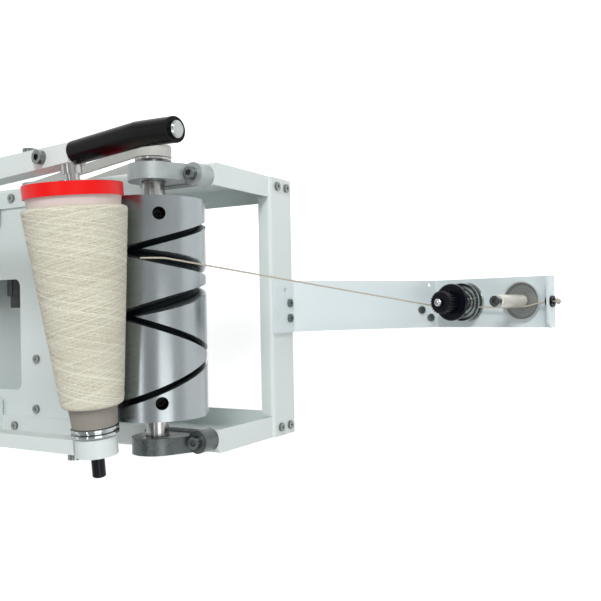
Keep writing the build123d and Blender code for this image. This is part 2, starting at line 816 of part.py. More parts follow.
with BuildPart() as yarn_package:
    with BuildSketch(cone_plane):
        with BuildLine():
            Polyline(
                (yarn_s0, tube_skin(yarn_s0)),
                (yarn_s0, yarn_skin(yarn_s0)),
                (yarn_s1, yarn_skin(yarn_s1)),
                (yarn_s1, tube_skin(yarn_s1)),
                close=True,
            )
        make_face()
        fillet([v for v in vertices() if abs(v.Y - yarn_skin(v.X)) < run_fit], yarn_corner)
    revolve(axis=cone_turn)
yarn_package.part.label = "yarn_package"
export_step(yarn_package.part, "parts/yarn_package.step")

with BuildPart() as rim_flange:
    with BuildSketch(cone_plane):
        with BuildLine():
            Polyline(
                (tube_s1 + skin_gap, tube_skin(tube_s1)),
                (tube_s1 - rim_lip, tube_skin(tube_s1 - rim_lip) + skin_gap),
                (tube_s1 - rim_lip, rim_r),
                (rim_s1, rim_r),
                (rim_s1, rim_bore_r),
                (tube_s1 + skin_gap, rim_bore_r),
                close=True,
            )
        make_face()
    revolve(axis=cone_turn)
rim_flange.part.label = "rim_flange"
export_step(rim_flange.part, "parts/rim_flange.step")

plug_r = tube_skin(chuck_s0) - tube_wall - skin_gap
with BuildPart() as big_end_chuck:
    with BuildSketch(cone_plane):
        with BuildLine():
            Polyline(
                (chuck_s0, spindle_r),
                (chuck_s0, plug_r),
                (tube_s1 - sink, tube_skin(tube_s1 - sink) - tube_wall - skin_gap),
                (tube_s1 - sink, rim_bore_r),
                (rim_s1 + sink, rim_bore_r),
                (rim_s1 + sink, chuck_face_r),
                (chuck_s1, chuck_face_r),
                (chuck_s1, spindle_r),
                close=True,
            )
        make_face()
    revolve(axis=cone_turn)
big_end_chuck.part.label = "big_end_chuck"
export_step(big_end_chuck.part, "parts/big_end_chuck.step")

groove_s = (tube_s0 - ring_s0) / 5
with BuildPart() as small_end_chuck:
    with BuildSketch(cone_plane):
        with BuildLine():
            Polyline(
                (ring_s0, spindle_r),
                (ring_s0, ring_neck_r),
                (ring_s0 + groove_s, ring_r),
                (ring_s0 + 2 * groove_s, ring_r),
                (ring_s0 + 2.5 * groove_s, ring_neck_r),
                (ring_s0 + 3 * groove_s, ring_neck_r),
                (ring_s0 + 3.5 * groove_s, ring_r),
                (ring_s0 + 4.5 * groove_s, ring_r),
                (tube_s0 - run_fit, ring_neck_r),
                (tube_s0 - run_fit, ring_nose_r),
                (tube_s0 + ring_nose, ring_nose_r),
                (tube_s0 + ring_nose, spindle_r),
                close=True,
            )
        make_face()
    revolve(axis=cone_turn)
small_end_chuck.part.label = "small_end_chuck"
export_step(small_end_chuck.part, "parts/small_end_chuck.step")

with BuildPart() as spindle:
    with BuildSketch(cone_at(spindle_s0)):
        Circle(spindle_r)
    extrude(amount=spindle_s1 - spindle_s0)
spindle.part.label = "spindle"
export_step(spindle.part, "parts/spindle.step")

# ---- cradle -------------------------------------------------------------------------------
right_lead = cone_at((rarm_x_front + rarm_x_out) / 2 / math.cos(tilt)).origin
left_lead = cone_at((larm_x0 + larm_x1) / 2 / math.cos(tilt)).origin
pivot_at = Vector(0, pivot_y, pivot_z)


def arm_plane(lead):
    """Plane along an arm through the pivot: local y runs back, normal up."""
    back = Vector(0, pivot_y - lead.Y, pivot_z - lead.Z).normalized()
    return Plane(origin=pivot_at, x_dir=(1, 0, 0), z_dir=Vector(1, 0, 0).cross(back))


right_plane = arm_plane(right_lead)
right_len = math.hypot(pivot_y - right_lead.Y, pivot_z - right_lead.Z)
right_nose = right_len + arm_nose
with BuildPart() as right_arm:
    with BuildSketch(right_plane.offset(arm_h / 2)):
        Polygon(
            (rarm_x_rear, rarm_rear),
            (rarm_x_out, rarm_rear),
            (rarm_x_out, -right_nose),
            (rarm_x_front, -right_nose),
            align=None,
        )
    extrude(amount=-arm_h)
    fillet(right_arm.edges().filter_by(Axis.Z, tolerance=15).sort_by(Axis.Y)[-2:], sheet)
    with BuildSketch(right_plane.offset(arm_h / 2 - arm_t)):
        Polygon(
            (rarm_x_rear + arm_t, rarm_rear + sink),
            (rarm_x_out - arm_t, rarm_rear + sink),
            (rarm_x_out - arm_t, arm_t - right_nose),
            (rarm_x_front + arm_t, arm_t - right_nose),
            align=None,
        )
    extrude(amount=-arm_h, mode=Mode.SUBTRACT)
    with BuildSketch(right_plane.offset(tang_h / 2)):
        with Locations(((rarm_x_front + rarm_x_out) / 2, -right_nose - tang_len / 2 + sink)):
            Rectangle(tang_w, tang_len + 2 * sink)
    extrude(amount=-tang_h)
    with BuildSketch(cone_at(sbear_s0 - sink)):
        Circle(sbear_r)
    extrude(amount=sbear_s1 - sbear_s0 + sink, mode=Mode.SUBTRACT)
    with BuildSketch(Plane.YZ.offset(rarm_x_rear - arm_t)):
        with Locations((pivot_y, pivot_z)):
            Circle(pivot_r)
    extrude(amount=frame_w, mode=Mode.SUBTRACT)
right_arm.part.label = "right_arm"
export_step(right_arm.part, "parts/right_arm.step")

with BuildPart() as spindle_bearing:
    with BuildSketch(cone_at(sbear_s0)):
        Circle(sbear_r)
        Circle(spindle_r + run_fit, mode=Mode.SUBTRACT)
    extrude(amount=sbear_s1 - sbear_s0)
spindle_bearing.part.label = "spindle_bearing"
export_step(spindle_bearing.part, "parts/spindle_bearing.step")

left_plane = arm_plane(left_lead)
left_len = math.hypot(pivot_y - left_lead.Y, pivot_z - left_lead.Z)
left_nose = left_len - hub_ring_r - skin_gap
with BuildPart() as left_arm:
    with BuildSketch(left_plane.offset(arm_h / 2)):
        with Locations(((larm_x0 + larm_x1) / 2, (rarm_rear - left_nose) / 2)):
            Rectangle(larm_x1 - larm_x0, rarm_rear + left_nose)
    extrude(amount=-arm_h)
    with BuildSketch(left_plane.offset(arm_h / 2 - arm_t)):
        with Locations(((larm_x0 + larm_x1) / 2, (rarm_rear - left_nose) / 2)):
            Rectangle(larm_x1 - larm_x0 - 2 * arm_t, rarm_rear + left_nose + 2 * sink)
    extrude(amount=-arm_h, mode=Mode.SUBTRACT)
    with BuildSketch(Plane.YZ.offset(larm_x0 - sink)):
        with Locations((pivot_y, pivot_z)):
            Circle(pivot_r)
    extrude(amount=larm_x1 - larm_x0 + 2 * sink, mode=Mode.SUBTRACT)
left_arm.part.label = "left_arm"
export_step(left_arm.part, "parts/left_arm.step")

lug_len = lug_back - left_lead.Y
with BuildPart() as left_hub:
    with BuildSketch(left_plane.offset(arm_h / 2 - arm_t - skin_gap)):
        with Locations(((larm_x0 + larm_x1) / 2, lug_len / 2 - left_len)):
            Rectangle(lug_t - 2 * skin_gap, lug_len)
    extrude(amount=2 * arm_t + 2 * skin_gap - arm_h)
    with BuildSketch(cone_at(hub_s0)):
        Circle(hub_ring_r)
    extrude(amount=ring_s0 - hub_gap - hub_s0)
    with BuildSketch(cone_at(hub_s0 - sink)):
        Circle(spindle_r + run_fit)
    extrude(amount=ring_s0 - hub_s0 + 2 * sink, mode=Mode.SUBTRACT)
    with BuildSketch(cone_at(hub_s0 - sink)):
        Circle(button_flange_r)
    extrude(amount=sink + button_seat, mode=Mode.SUBTRACT)
left_hub.part.label = "left_hub"
export_step(left_hub.part, "parts/left_hub.step")

with BuildPart() as release_button:
    with BuildSketch(cone_at(button_s0)):
        Circle(button_r)
    extrude(amount=button_s1 - button_s0)
    chamfer(release_button.edges().sort_by(Axis.X)[0], run_fit * 16)
release_button.part.label = "release_button"
export_step(release_button.part, "parts/release_button.step")

with BuildPart() as pivot_shaft:
    with BuildSketch(Plane.YZ.offset(-pivot_half)):
        with Locations((pivot_y, pivot_z)):
            Circle(pivot_r)
    extrude(amount=pivot_half + rarm_x_out + sheet)
    for x0, x1 in ((-pivot_half, -pivot_half + pivot_nut_h), (rarm_x_out, rarm_x_out + pivot_nut_h)):
        with BuildSketch(Plane.YZ.offset(x0)):
            with Locations((pivot_y, pivot_z)):
                RegularPolygon(pivot_nut_r, 6)
        extrude(amount=x1 - x0)
pivot_shaft.part.label = "pivot_shaft"
export_step(pivot_shaft.part, "parts/pivot_shaft.step")

for name, side in (("pivot_bracket_right", 1), ("pivot_bracket_left", -1)):
    with BuildPart() as ear:
        with BuildSketch(Plane.YZ.offset(side * ear_x0)):
            with Locations((pivot_y, pivot_z)):
                Circle(ear_r)
            with Locations((pivot_y, frame_h + ear_foot_t / 2)):
                Rectangle(ear_foot_y1 - ear_foot_y0, ear_foot_t)
            make_hull()
        extrude(amount=side * (ear_x1 - ear_x0))
        with BuildSketch(Plane.XY.offset(frame_h)):
            with Locations((side * (ear_x0 + ear_foot_x1) / 2, pivot_y)):
                Rectangle(ear_foot_x1 - ear_x0, ear_foot_y1 - ear_foot_y0)
        extrude(amount=ear_foot_t)
        with BuildSketch(Plane.XY.offset(frame_h - sink)):
            for y in (pivot_y - ear_bolt_y, pivot_y + ear_bolt_y):
                with Locations((side * ear_bolt_x, y)):
                    Circle(bracket_bolt_r + loose_fit)
        extrude(amount=ear_foot_t + 2 * sink, mode=Mode.SUBTRACT)
        with BuildSketch(Plane.YZ.offset(side * (ear_x0 - sink))):
            with Locations((pivot_y, pivot_z)):
                Circle(pivot_r + run_fit)
        extrude(amount=side * (ear_x1 - ear_x0 + 2 * sink), mode=Mode.SUBTRACT)
    ear.part.label = name
    export_step(ear.part, "parts/" + name + ".step")

with BuildPart() as pivot_bolts:
    for side in (-1, 1):
        for y in (pivot_y - ear_bolt_y, pivot_y + ear_bolt_y):
            with BuildSketch(Plane.XY.offset(frame_h + ear_foot_t)):
                with Locations((side * ear_bolt_x, y)):
                    Circle(bracket_bolt_head_r)
            extrude(amount=bracket_bolt_head_h)
            with BuildSketch(Plane.XY.offset(frame_h - bracket_bolt_len + ear_foot_t)):
                with Locations((side * ear_bolt_x, y)):
                    Circle(bracket_bolt_r)
            extrude(amount=bracket_bolt_len)
            with BuildSketch(Plane.XY.offset(frame_h + ear_foot_t + bracket_bolt_head_h)):
                with Locations((side * ear_bolt_x, y)):
                    RegularPolygon(hex_socket_r, 6)
            extrude(amount=-hex_socket_depth, mode=Mode.SUBTRACT)
pivot_bolts.part.label = "pivot_bolts"
export_step(pivot_bolts.part, "parts/pivot_bolts.step")

# arm bolts: one through the right arm's top, one out of its side, one at the left hub's lug
right_bolt_at = right_plane.origin + right_plane.y_dir * (drum_y + 28.0 - pivot_y)
side_bolt_at = right_plane.origin + right_plane.y_dir * (drum_y + 54.0 - pivot_y)
lug_bolt_at = left_plane.origin + left_plane.y_dir * (lug_back - arm_bolt_head_r - pivot_y)
right_mid_x = (rarm_x_front + rarm_x_out) / 2
with BuildPart() as arm_bolts:
    top_plane = Plane(origin=right_bolt_at + Vector(right_mid_x, 0, 0), x_dir=(1, 0, 0), z_dir=right_plane.z_dir)
    with BuildSketch(top_plane.offset(arm_h / 2)):
        Circle(arm_bolt_head_r)
    extrude(amount=arm_bolt_head_h)
    with BuildSketch(top_plane.offset(arm_h / 2 + arm_bolt_head_h)):
        RegularPolygon(hex_socket_r, 6)
    extrude(amount=-hex_socket_depth, mode=Mode.SUBTRACT)
    for at, x0, x1 in (
        (side_bolt_at, rarm_x_out, rarm_x_out + arm_nut_h),
        (lug_bolt_at, larm_x0, larm_x0 - arm_bolt_head_h),
    ):
        with BuildSketch(Plane.YZ.offset(x0)):
            with Locations((at.Y, at.Z)):
                Circle(arm_bolt_head_r)
        extrude(amount=x1 - x0)
        with BuildSketch(Plane.YZ.offset(x1)):
            with Locations((at.Y, at.Z)):
                RegularPolygon(hex_socket_r, 6)
        extrude(amount=(x0 - x1) / 2, mode=Mode.SUBTRACT)
arm_bolts.part.label = "arm_bolts"
export_step(arm_bolts.part, "parts/arm_bolts.step")

with BuildPart() as grip:
    with BuildLine() as grip_line:
        FilletPolyline(*grip_pts, radius=grip_bend)
    with BuildSketch(Plane(origin=grip_line.line @ 0, z_dir=grip_line.line % 0, x_dir=(1, 0, 0))):
        Ellipse(grip_w / 2, grip_h / 2)
    sweep()
    with BuildSketch(right_plane.offset(tang_h / 2 + run_fit)):
        with Locations((right_mid_x, -right_nose - tang_len / 2)):
            Rectangle(tang_w + 2 * run_fit, tang_len + 4 * sink)
    extrude(amount=-tang_h - 2 * run_fit, mode=Mode.SUBTRACT)
grip.part.label = "grip"
export_step(grip.part, "parts/grip.step")

grip_tip = Plane(origin=grip_line.line @ 1, z_dir=grip_line.line % 1, x_dir=(1, 0, 0))
with BuildPart() as grip_cap:
    with BuildSketch(grip_tip):
        Circle(grip_cap_r)
    extrude(amount=grip_cap_h)
    chamfer(grip_cap.faces().sort_by(Axis.Y)[0].edges(), sink)
grip_cap.part.label = "grip_cap"
export_step(grip_cap.part, "parts/grip_cap.step")

# ---- yarn arm -----------------------------------------------------------------------------
arm_face = frame_front - sheet - plate_t / 2
slope_end = knee - plate_up * (plate_t / 2)
end_mid = slope_end + plate_dir * (plate_len - plate_t / 2)
lip_top = end_mid + plate_up * (lip_h + plate_t / 2)
slope_run = Vector(0, arm_face, slope_top) - slope_end
slope_dir = slope_run.normalized()
slope_up = Vector(1, 0, 0).cross(slope_dir)
slope_plane = Plane(origin=slope_end, x_dir=(1, 0, 0), z_dir=Vector(1, 0, 0).cross(slope_dir))
with BuildPart() as yarn_arm:
    with BuildSketch(Plane.YZ.offset(-arm_w / 2)):
        with BuildLine():
            FilletPolyline(
                (arm_face, tab_top),
                (arm_face, slope_top),
                (slope_end.Y, slope_end.Z),
                (end_mid.Y, end_mid.Z),
                (lip_top.Y, lip_top.Z),
                radius=(sheet_bend, sheet_bend, lip_bend),
            )
        trace(line_width=plate_t)
    extrude(amount=arm_w)
    lip_plane = Plane(origin=end_mid, x_dir=(1, 0, 0), z_dir=plate_dir)
    with BuildSketch(lip_plane.offset(-plate_t)):
        for side in (-1, 1):
            with Locations((side * arm_w / 2, lip_h + plate_t / 2)):
                Rectangle(2 * lip_corner, 2 * lip_corner)
        for side in (-1, 1):
            with Locations((side * (arm_w / 2 - lip_corner), lip_h + plate_t / 2 - lip_corner)):
                Circle(lip_corner, mode=Mode.SUBTRACT)
        with Locations((0, lip_h / 2)):
            Rectangle(arm_w - 2 * lip_corner, 3 * lip_h, mode=Mode.SUBTRACT)
    extrude(amount=2 * plate_t, mode=Mode.SUBTRACT)
    with BuildSketch(lip_plane.offset(-plate_t)):
        with Locations((0, eyelet_h + plate_t / 2)):
            Circle(eyelet_r - eyelet_rim)
    extrude(amount=2 * plate_t, mode=Mode.SUBTRACT)
    with BuildSketch(Plane.XZ.offset(-frame_front + 2 * plate_t)):
        for x, z in tab_screw:
            with Locations((x, z)):
                Circle(screw_r + loose_fit)
        with Locations(tab_hole):
            Circle(tab_hole_r)
    extrude(amount=-3 * plate_t, mode=Mode.SUBTRACT)
    with BuildSketch(slope_plane.offset(-plate_t)):
        for x, along in knee_screw:
            with Locations((x, along)):
                Circle(screw_r + loose_fit)
        with Locations(knee_hole):
            Circle(knee_hole_r)
    extrude(amount=2 * plate_t, mode=Mode.SUBTRACT)
    with BuildSketch(on_plate(0, 0, -2 * plate_t)):
        for x, t in ((tens_x, tens_t), (guide_x, guide_t)):
            with Locations((x, -t)):
                Circle(stud_r)
    extrude(amount=3 * plate_t, mode=Mode.SUBTRACT)
yarn_arm.part.label = "yarn_arm"
export_step(yarn_arm.part, "parts/yarn_arm.step")

knee_top = slope_plane.offset(plate_t / 2)
tab_plane = Plane.XZ.offset(-frame_front + sheet + plate_t)
with BuildPart() as arm_screws:
    for here, spots in ((tab_plane, tab_screw), (knee_top, knee_screw)):
        with BuildSketch(here):
            for spot in spots:
                with Locations(spot):
                    Circle(screw_head_r)
        extrude(amount=screw_head_h)
        with BuildSketch(here):
            for spot in spots:
                with Locations(spot):
                    Circle(screw_r)
        extrude(amount=-screw_len)
        with BuildSketch(here.offset(screw_head_h)):
            for spot in spots:
                with Locations(spot):
                    Rectangle(screw_head_r, cross_w)
                    Rectangle(cross_w, screw_head_r)
        extrude(amount=-cross_depth, mode=Mode.SUBTRACT)
arm_screws.part.label = "arm_screws"
export_step(arm_screws.part, "parts/arm_screws.step")

# ---- tensioner ----------------------------------------------------------------------------
def post_plane(x, t):
    """Plane through a post's axis: local x across, local y up the post."""
    return Plane(origin=over_plate(x, t, 0), x_dir=(1, 0, 0), z_dir=plate_dir)


tens_plane = post_plane(tens_x, tens_t)
tens_axis = Axis(tens_plane.origin, plate_up)
with BuildPart() as tension_stud:
    with BuildSketch(on_plate(tens_x, tens_t, -plate_t - stud_nut_h)):
        Circle(stud_r)
    extrude(amount=stud_h + plate_t + stud_nut_h)
    with BuildSketch(on_plate(tens_x, tens_t, 0)):
        Circle(collar_r)
    extrude(amount=seat_h)
    with BuildSketch(on_plate(tens_x, tens_t, -plate_t)):
        RegularPolygon(2 * stud_r, 6)
    extrude(amount=-stud_nut_h)
    chamfer(tension_stud.faces().sort_by(tens_axis)[-1].edges(), run_fit * 16)
tension_stud.part.label = "tension_stud"
export_step(tension_stud.part, "parts/tension_stud.step")

for name, flip in (("tension_disc_lower", -1), ("tension_disc_upper", 1)):
    base = disc_h + flip * disc_gap / 2
    with BuildPart() as disc:
        with BuildSketch(tens_plane):
            with BuildLine():
                Polyline(
                    (stud_r + run_fit, base),
                    (disc_flat_r, base),
                    (disc_r - sink, base + flip * disc_dish),
                    (disc_r, base + flip * disc_dish),
                    (disc_r, base + flip * (disc_dish + disc_t)),
                    (disc_r - sink, base + flip * (disc_dish + disc_t)),
                    (disc_flat_r, base + flip * disc_t),
                    (stud_r + run_fit, base + flip * disc_t),
                    close=True,
                )
            make_face()
        revolve(axis=tens_axis)
    disc.part.label = name
    export_step(disc.part, "parts/" + name + ".step")

spring_top = knob_flange_h - tension_travel - washer_h
washer_low = knob_flange_h - washer_h - skin_gap
with BuildPart() as spring_washer:
    with BuildSketch(on_plate(tens_x, tens_t, washer_low)):
        Circle(washer_r)
        Circle(washer_bore_r, mode=Mode.SUBTRACT)
    extrude(amount=washer_h)
spring_washer.part.label = "spring_washer"
export_step(spring_washer.part, "parts/spring_washer.step")

spring_low = disc_h + disc_gap / 2 + disc_t + spring_wire_r + spring_clear
spring_high = washer_low - spring_wire_r - spring_clear
spring_pitch = (spring_high - spring_low) / spring_turns


def coil_at(turn):
    """Point and direction on the spring's helix after so many turns."""
    angle = 2 * math.pi * turn
    out = Vector(math.cos(angle), 0, 0) + plate_dir * math.sin(angle)
    ahead = Vector(-math.sin(angle), 0, 0) + plate_dir * math.cos(angle)
    point = over_plate(tens_x, tens_t, spring_low + spring_pitch * turn) + out * spring_r
    return point, (ahead * (2 * math.pi * spring_r) + plate_up * spring_pitch).normalized()


with BuildPart() as tension_spring:
    with BuildLine() as coil:
        for half in range(int(2 * spring_turns)):
            p0, t0 = coil_at(half / 2)
            p1, t1 = coil_at((half + 1) / 2)
            chord = p1 - p0
            lean = chord.dot(t0 + t1)
            twist = 2 * (1 - t0.dot(t1))
            reach = (math.sqrt(lean ** 2 + twist * chord.dot(chord)) - lean) / twist
            join = (p0 + t0 * reach + p1 - t1 * reach) / 2
            TangentArc(p0, join, tangent=t0)
            TangentArc(join, p1, tangent=(p1 - t1 * reach) - (p0 + t0 * reach))
    first_point, first_dir = coil_at(0)
    with BuildSketch(Plane(origin=first_point, z_dir=first_dir)):
        Circle(spring_wire_r)
    sweep()
tension_spring.part.label = "tension_spring"
export_step(tension_spring.part, "parts/tension_spring.step")
print("spring pitch", round(spring_pitch, 2), "gap", round(spring_pitch - 2 * spring_wire_r, 2), "radius", spring_r)

with BuildPart() as tension_knob:
    with BuildSketch(on_plate(tens_x, tens_t, knob_flange_h)):
        Circle(knob_flange_r)
    extrude(amount=knob_flange_t)
    chamfer(tension_knob.edges(), sink)
    with BuildSketch(on_plate(tens_x, tens_t, knob_flange_h + knob_flange_t - sink / 2)):
        Circle(knob_hub_r)
        with PolarLocations(knob_hub_r, knob_flutes):
            Circle(knob_flute_r, mode=Mode.SUBTRACT)
    extrude(amount=knob_hub_h + sink / 2)
    with BuildSketch(on_plate(tens_x, tens_t, knob_flange_h - sink)):
        Circle(stud_r + run_fit)
    extrude(amount=knob_hub_h + knob_flange_t + 2 * sink, mode=Mode.SUBTRACT)
    with BuildSketch(on_plate(tens_x, tens_t, knob_flange_h + knob_flange_t + knob_hub_h)):
        Circle(knob_bore_r + sink)
    extrude(amount=-2 * sink, mode=Mode.SUBTRACT)
tension_knob.part.label = "tension_knob"
export_step(tension_knob.part, "parts/tension_knob.step")

# ---- guide post ---------------------------------------------------------------------------
guide_axis = Axis(over_plate(guide_x, guide_t, 0), plate_up)
with BuildPart() as guide_dish:
    with BuildSketch(post_plane(guide_x, guide_t)):
        with BuildLine():
            Polyline(
                (guide_bolt_r, 0),
                (dish_r - dish_h / 2, 0),
                (dish_r, dish_h),
                (dish_r - sink, dish_h),
                (dish_r - dish_h / 2 - sink, sink),
                (guide_bolt_r, sink),
                close=True,
            )
        make_face()
    revolve(axis=guide_axis)
guide_dish.part.label = "guide_dish"
export_step(guide_dish.part, "parts/guide_dish.step")

with BuildPart() as guide_sleeve:
    with BuildSketch(on_plate(guide_x, guide_t, sink + skin_gap)):
        Circle(sleeve_r)
    extrude(amount=sleeve_top - sink - skin_gap)
    chamfer(guide_sleeve.edges(), sink)
    with BuildSketch(on_plate(guide_x, guide_t, 0)):
        Circle(guide_bolt_r + run_fit)
    extrude(amount=sleeve_top + sink, mode=Mode.SUBTRACT)
guide_sleeve.part.label = "guide_sleeve"
export_step(guide_sleeve.part, "parts/guide_sleeve.step")

with BuildPart() as guide_bolt:
    with BuildSketch(on_plate(guide_x, guide_t, -plate_t - stud_nut_h)):
        Circle(guide_bolt_r)
    extrude(amount=sleeve_top + skin_gap + plate_t + stud_nut_h)
    with BuildSketch(on_plate(guide_x, guide_t, sleeve_top + skin_gap)):
        Circle(guide_head_r)
    extrude(amount=guide_head_h)
    with BuildSketch(on_plate(guide_x, guide_t, sleeve_top + skin_gap + guide_head_h)):
        RegularPolygon(hex_socket_r, 6)
    extrude(amount=-hex_socket_depth, mode=Mode.SUBTRACT)
    with BuildSketch(on_plate(guide_x, guide_t, -plate_t)):
        RegularPolygon(2 * stud_r, 6)
    extrude(amount=-stud_nut_h)
guide_bolt.part.label = "guide_bolt"
export_step(guide_bolt.part, "parts/guide_bolt.step")

eye_mid = end_mid + plate_up * (eyelet_h + plate_t / 2)
with BuildPart() as eyelet:
    for offset, length, r in (
        (-eyelet_w / 2, eyelet_w, eyelet_r - eyelet_rim),
        (-eyelet_w / 2, (eyelet_w - plate_t) / 2, eyelet_r),
        (plate_t / 2, (eyelet_w - plate_t) / 2, eyelet_r),
    ):
        with BuildSketch(Plane(origin=eye_mid, x_dir=(1, 0, 0), z_dir=plate_dir).offset(offset)):
            Circle(r)
        extrude(amount=length)
    with BuildSketch(Plane(origin=eye_mid, x_dir=(1, 0, 0), z_dir=plate_dir).offset(-eyelet_w)):
        Circle(eyelet_bore_r)
    extrude(amount=2 * eyelet_w, mode=Mode.SUBTRACT)
eyelet.part.label = "eyelet"
export_step(eyelet.part, "parts/eyelet.step")

# ---- yarn strand: over the drum's front, between the discs, round the sleeve, to the eyelet --
yarn_x = 29.0
wrap_r = drum_r + skin_gap + yarn_r
wrap_end = 26.0                   # angle from the drum's top where the strand stops
stud_pass = stud_r + yarn_r + skin_gap
sleeve_pass = sleeve_r + yarn_r + skin_gap
pinch = over_plate(tens_x - stud_pass, tens_t, disc_h)
leave = over_plate(tens_x - stud_pass - sink, tens_t - disc_r - leave_gap, disc_h)
reach_y = leave.Y - drum_y
reach_z = leave.Z - drum_z
aim = math.atan2(-reach_y, reach_z)
front_turn = aim - math.acos(wrap_r / math.hypot(reach_y, reach_z))
back_turn = math.radians(wrap_end)
corner_turn = (front_turn + back_turn) / 2
corner_r = wrap_r / math.cos((front_turn - back_turn) / 2)
corner = Vector(yarn_x, drum_y - corner_r * math.sin(corner_turn), drum_z + corner_r * math.cos(corner_turn))
stop = Vector(yarn_x, drum_y - wrap_r * math.sin(back_turn), drum_z + wrap_r * math.cos(back_turn))
tail = Vector(0, math.cos(back_turn), math.sin(back_turn)) * yarn_r
strand_pts = [
    stop + tail,
    corner,
    leave,
    pinch,
    over_plate(guide_x - sleeve_pass, guide_t, disc_h + sink),
    eye_mid - plate_dir * eyelet_w,
    eye_mid + plate_dir * (eyelet_w + sink),
]
with BuildPart() as yarn_strand:
    with BuildLine() as strand:
        FilletPolyline(*strand_pts, radius=(wrap_r, leave_gap, 2 * stud_pass, 2 * sleeve_pass, sleeve_pass))
    with BuildSketch(Plane(origin=strand.line @ 0, z_dir=strand.line % 0)):
        Circle(yarn_r)
    sweep()
    strand_vol = yarn_strand.part.volume
    with Locations(strand_pts[-1]):
        Sphere(knot_r)
yarn_strand.part.label = "yarn_strand"
export_step(yarn_strand.part, "parts/yarn_strand.step")
strand_len = sum(edge.length for edge in strand.edges())
print("yarn strand", round(strand_len, 1), "mm; section x length", round(strand_len * math.pi * yarn_r ** 2, 1),
      "mm3; solid without knot", round(strand_vol, 1), "mm3")
for point in strand_pts:
    print("  strand point", [round(value, 2) for value in point])
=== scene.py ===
import math
import bpy
import numpy as np
from mathutils import Matrix, Vector


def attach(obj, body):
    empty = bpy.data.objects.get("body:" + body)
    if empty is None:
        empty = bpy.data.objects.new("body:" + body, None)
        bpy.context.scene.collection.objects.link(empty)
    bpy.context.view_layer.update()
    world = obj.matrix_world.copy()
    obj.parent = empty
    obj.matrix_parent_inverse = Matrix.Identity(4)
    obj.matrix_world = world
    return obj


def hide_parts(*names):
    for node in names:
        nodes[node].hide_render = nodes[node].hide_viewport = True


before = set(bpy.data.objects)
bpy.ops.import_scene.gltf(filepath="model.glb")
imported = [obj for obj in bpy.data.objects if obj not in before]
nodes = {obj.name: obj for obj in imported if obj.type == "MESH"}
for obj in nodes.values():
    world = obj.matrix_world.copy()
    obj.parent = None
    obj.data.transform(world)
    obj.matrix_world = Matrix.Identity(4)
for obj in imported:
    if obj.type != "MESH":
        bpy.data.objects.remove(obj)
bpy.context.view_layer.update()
scene = bpy.context.scene
MM = 0.001

# ---- camera: the photograph's viewpoint, above and in front of the machine --------------------
TILT_DOWN = math.radians(60.8)
YAW = math.radians(1.24)
EYE = np.array([-2.35, -515.21, 630.66]) * MM
FOCAL_PX = 771.26
PHOTO_PX = 601.0
SENSOR_MM = 36.0
level_part = math.cos(TILT_DOWN)
look = np.array([math.sin(YAW) * level_part, math.cos(YAW) * level_part, -math.sin(TILT_DOWN)])
machine_right = np.array([math.cos(YAW), -math.sin(YAW), 0.0])
machine_up = np.cross(machine_right, look)
lens = bpy.data.cameras.new("photo_camera")
lens.sensor_width = SENSOR_MM
lens.lens = FOCAL_PX / PHOTO_PX * SENSOR_MM
lens.clip_start = 0.01
lens.clip_end = 20.0
eye = bpy.data.objects.new("photo_camera", lens)
scene.collection.objects.link(eye)
turn = Matrix(np.column_stack([-machine_up, machine_right, -look]).tolist()).to_4x4()
eye.matrix_world = Matrix.Translation(Vector(EYE)) @ turn
scene.camera = eye

# ---- the machine's own lines, as the frame has them, in millimetres ----------------------------
DRUM_Y = -110.0
DRUM_Z = 145.0
DRUM_R = 41.0
GROOVED_HALF = 80.3
CONE_TILT = math.radians(5.95)
CONE_BACK = 7.7       # the cone's middle is this far behind the drum's axis
CONE_OVER = 71.0      # and this far over it
SKIN_GAP = 0.35       # between the package and the drum
CONE_MID = np.array([0.0, DRUM_Y + CONE_BACK, DRUM_Z + CONE_OVER])
CONE_AXIS = np.array([math.cos(CONE_TILT), 0.0, math.sin(CONE_TILT)])
CONE_UP = np.array([-math.sin(CONE_TILT), 0.0, math.cos(CONE_TILT)])
CONE_SIDE = np.cross(CONE_AXIS, CONE_UP)
NIP_R = (math.hypot(CONE_BACK, CONE_OVER) - DRUM_R - SKIN_GAP) / math.cos(CONE_TILT)
KNEE = np.array([0.0, DRUM_Y - 139.0, -132.0])
RISE = math.radians(14.2)
PLATE_DIR = np.array([0.0, -math.cos(RISE), math.sin(RISE)])
PLATE_UP = np.array([0.0, math.sin(RISE), math.cos(RISE)])
ACROSS = np.array([1.0, 0.0, 0.0])
POST_X = 1.0          # both posts stand this far across the end plate
TENSION_T = 37.0      # and these distances along it from the knee
GUIDE_T = 97.0


def over_plate(x, t, h):
    """Point at x across, t along and h over the end plate."""
    return KNEE + PLATE_DIR * t + PLATE_UP * h + ACROSS * x


# ---- node groups shared by the finishes --------------------------------------------------------
def new_group(name, inputs, outputs):
    """A shader group with float inputs {name: default}, colour inputs as 4-tuples, and named outputs."""
    tree = bpy.data.node_groups.new(name, "ShaderNodeTree")
    for label, default in inputs.items():
        kind = "NodeSocketColor" if isinstance(default, tuple) else "NodeSocketFloat"
        socket = tree.interface.new_socket(label, in_out="INPUT", socket_type=kind)
        socket.default_value = default
    for label, kind in outputs.items():
        tree.interface.new_socket(label, in_out="OUTPUT", socket_type=kind)
    start = tree.nodes.new("NodeGroupInput")
    end = tree.nodes.new("NodeGroupOutput")
    return tree, start, end


def place(tree, kind, **values):
    """Adds a node and sets its properties; a key that names an input sets that input."""
    node = tree.nodes.new(kind)
    for key, value in values.items():
        label = key.replace("_", " ")
        if hasattr(node, key):
            setattr(node, key, value)
        else:
            node.inputs[label].default_value = value
    return node


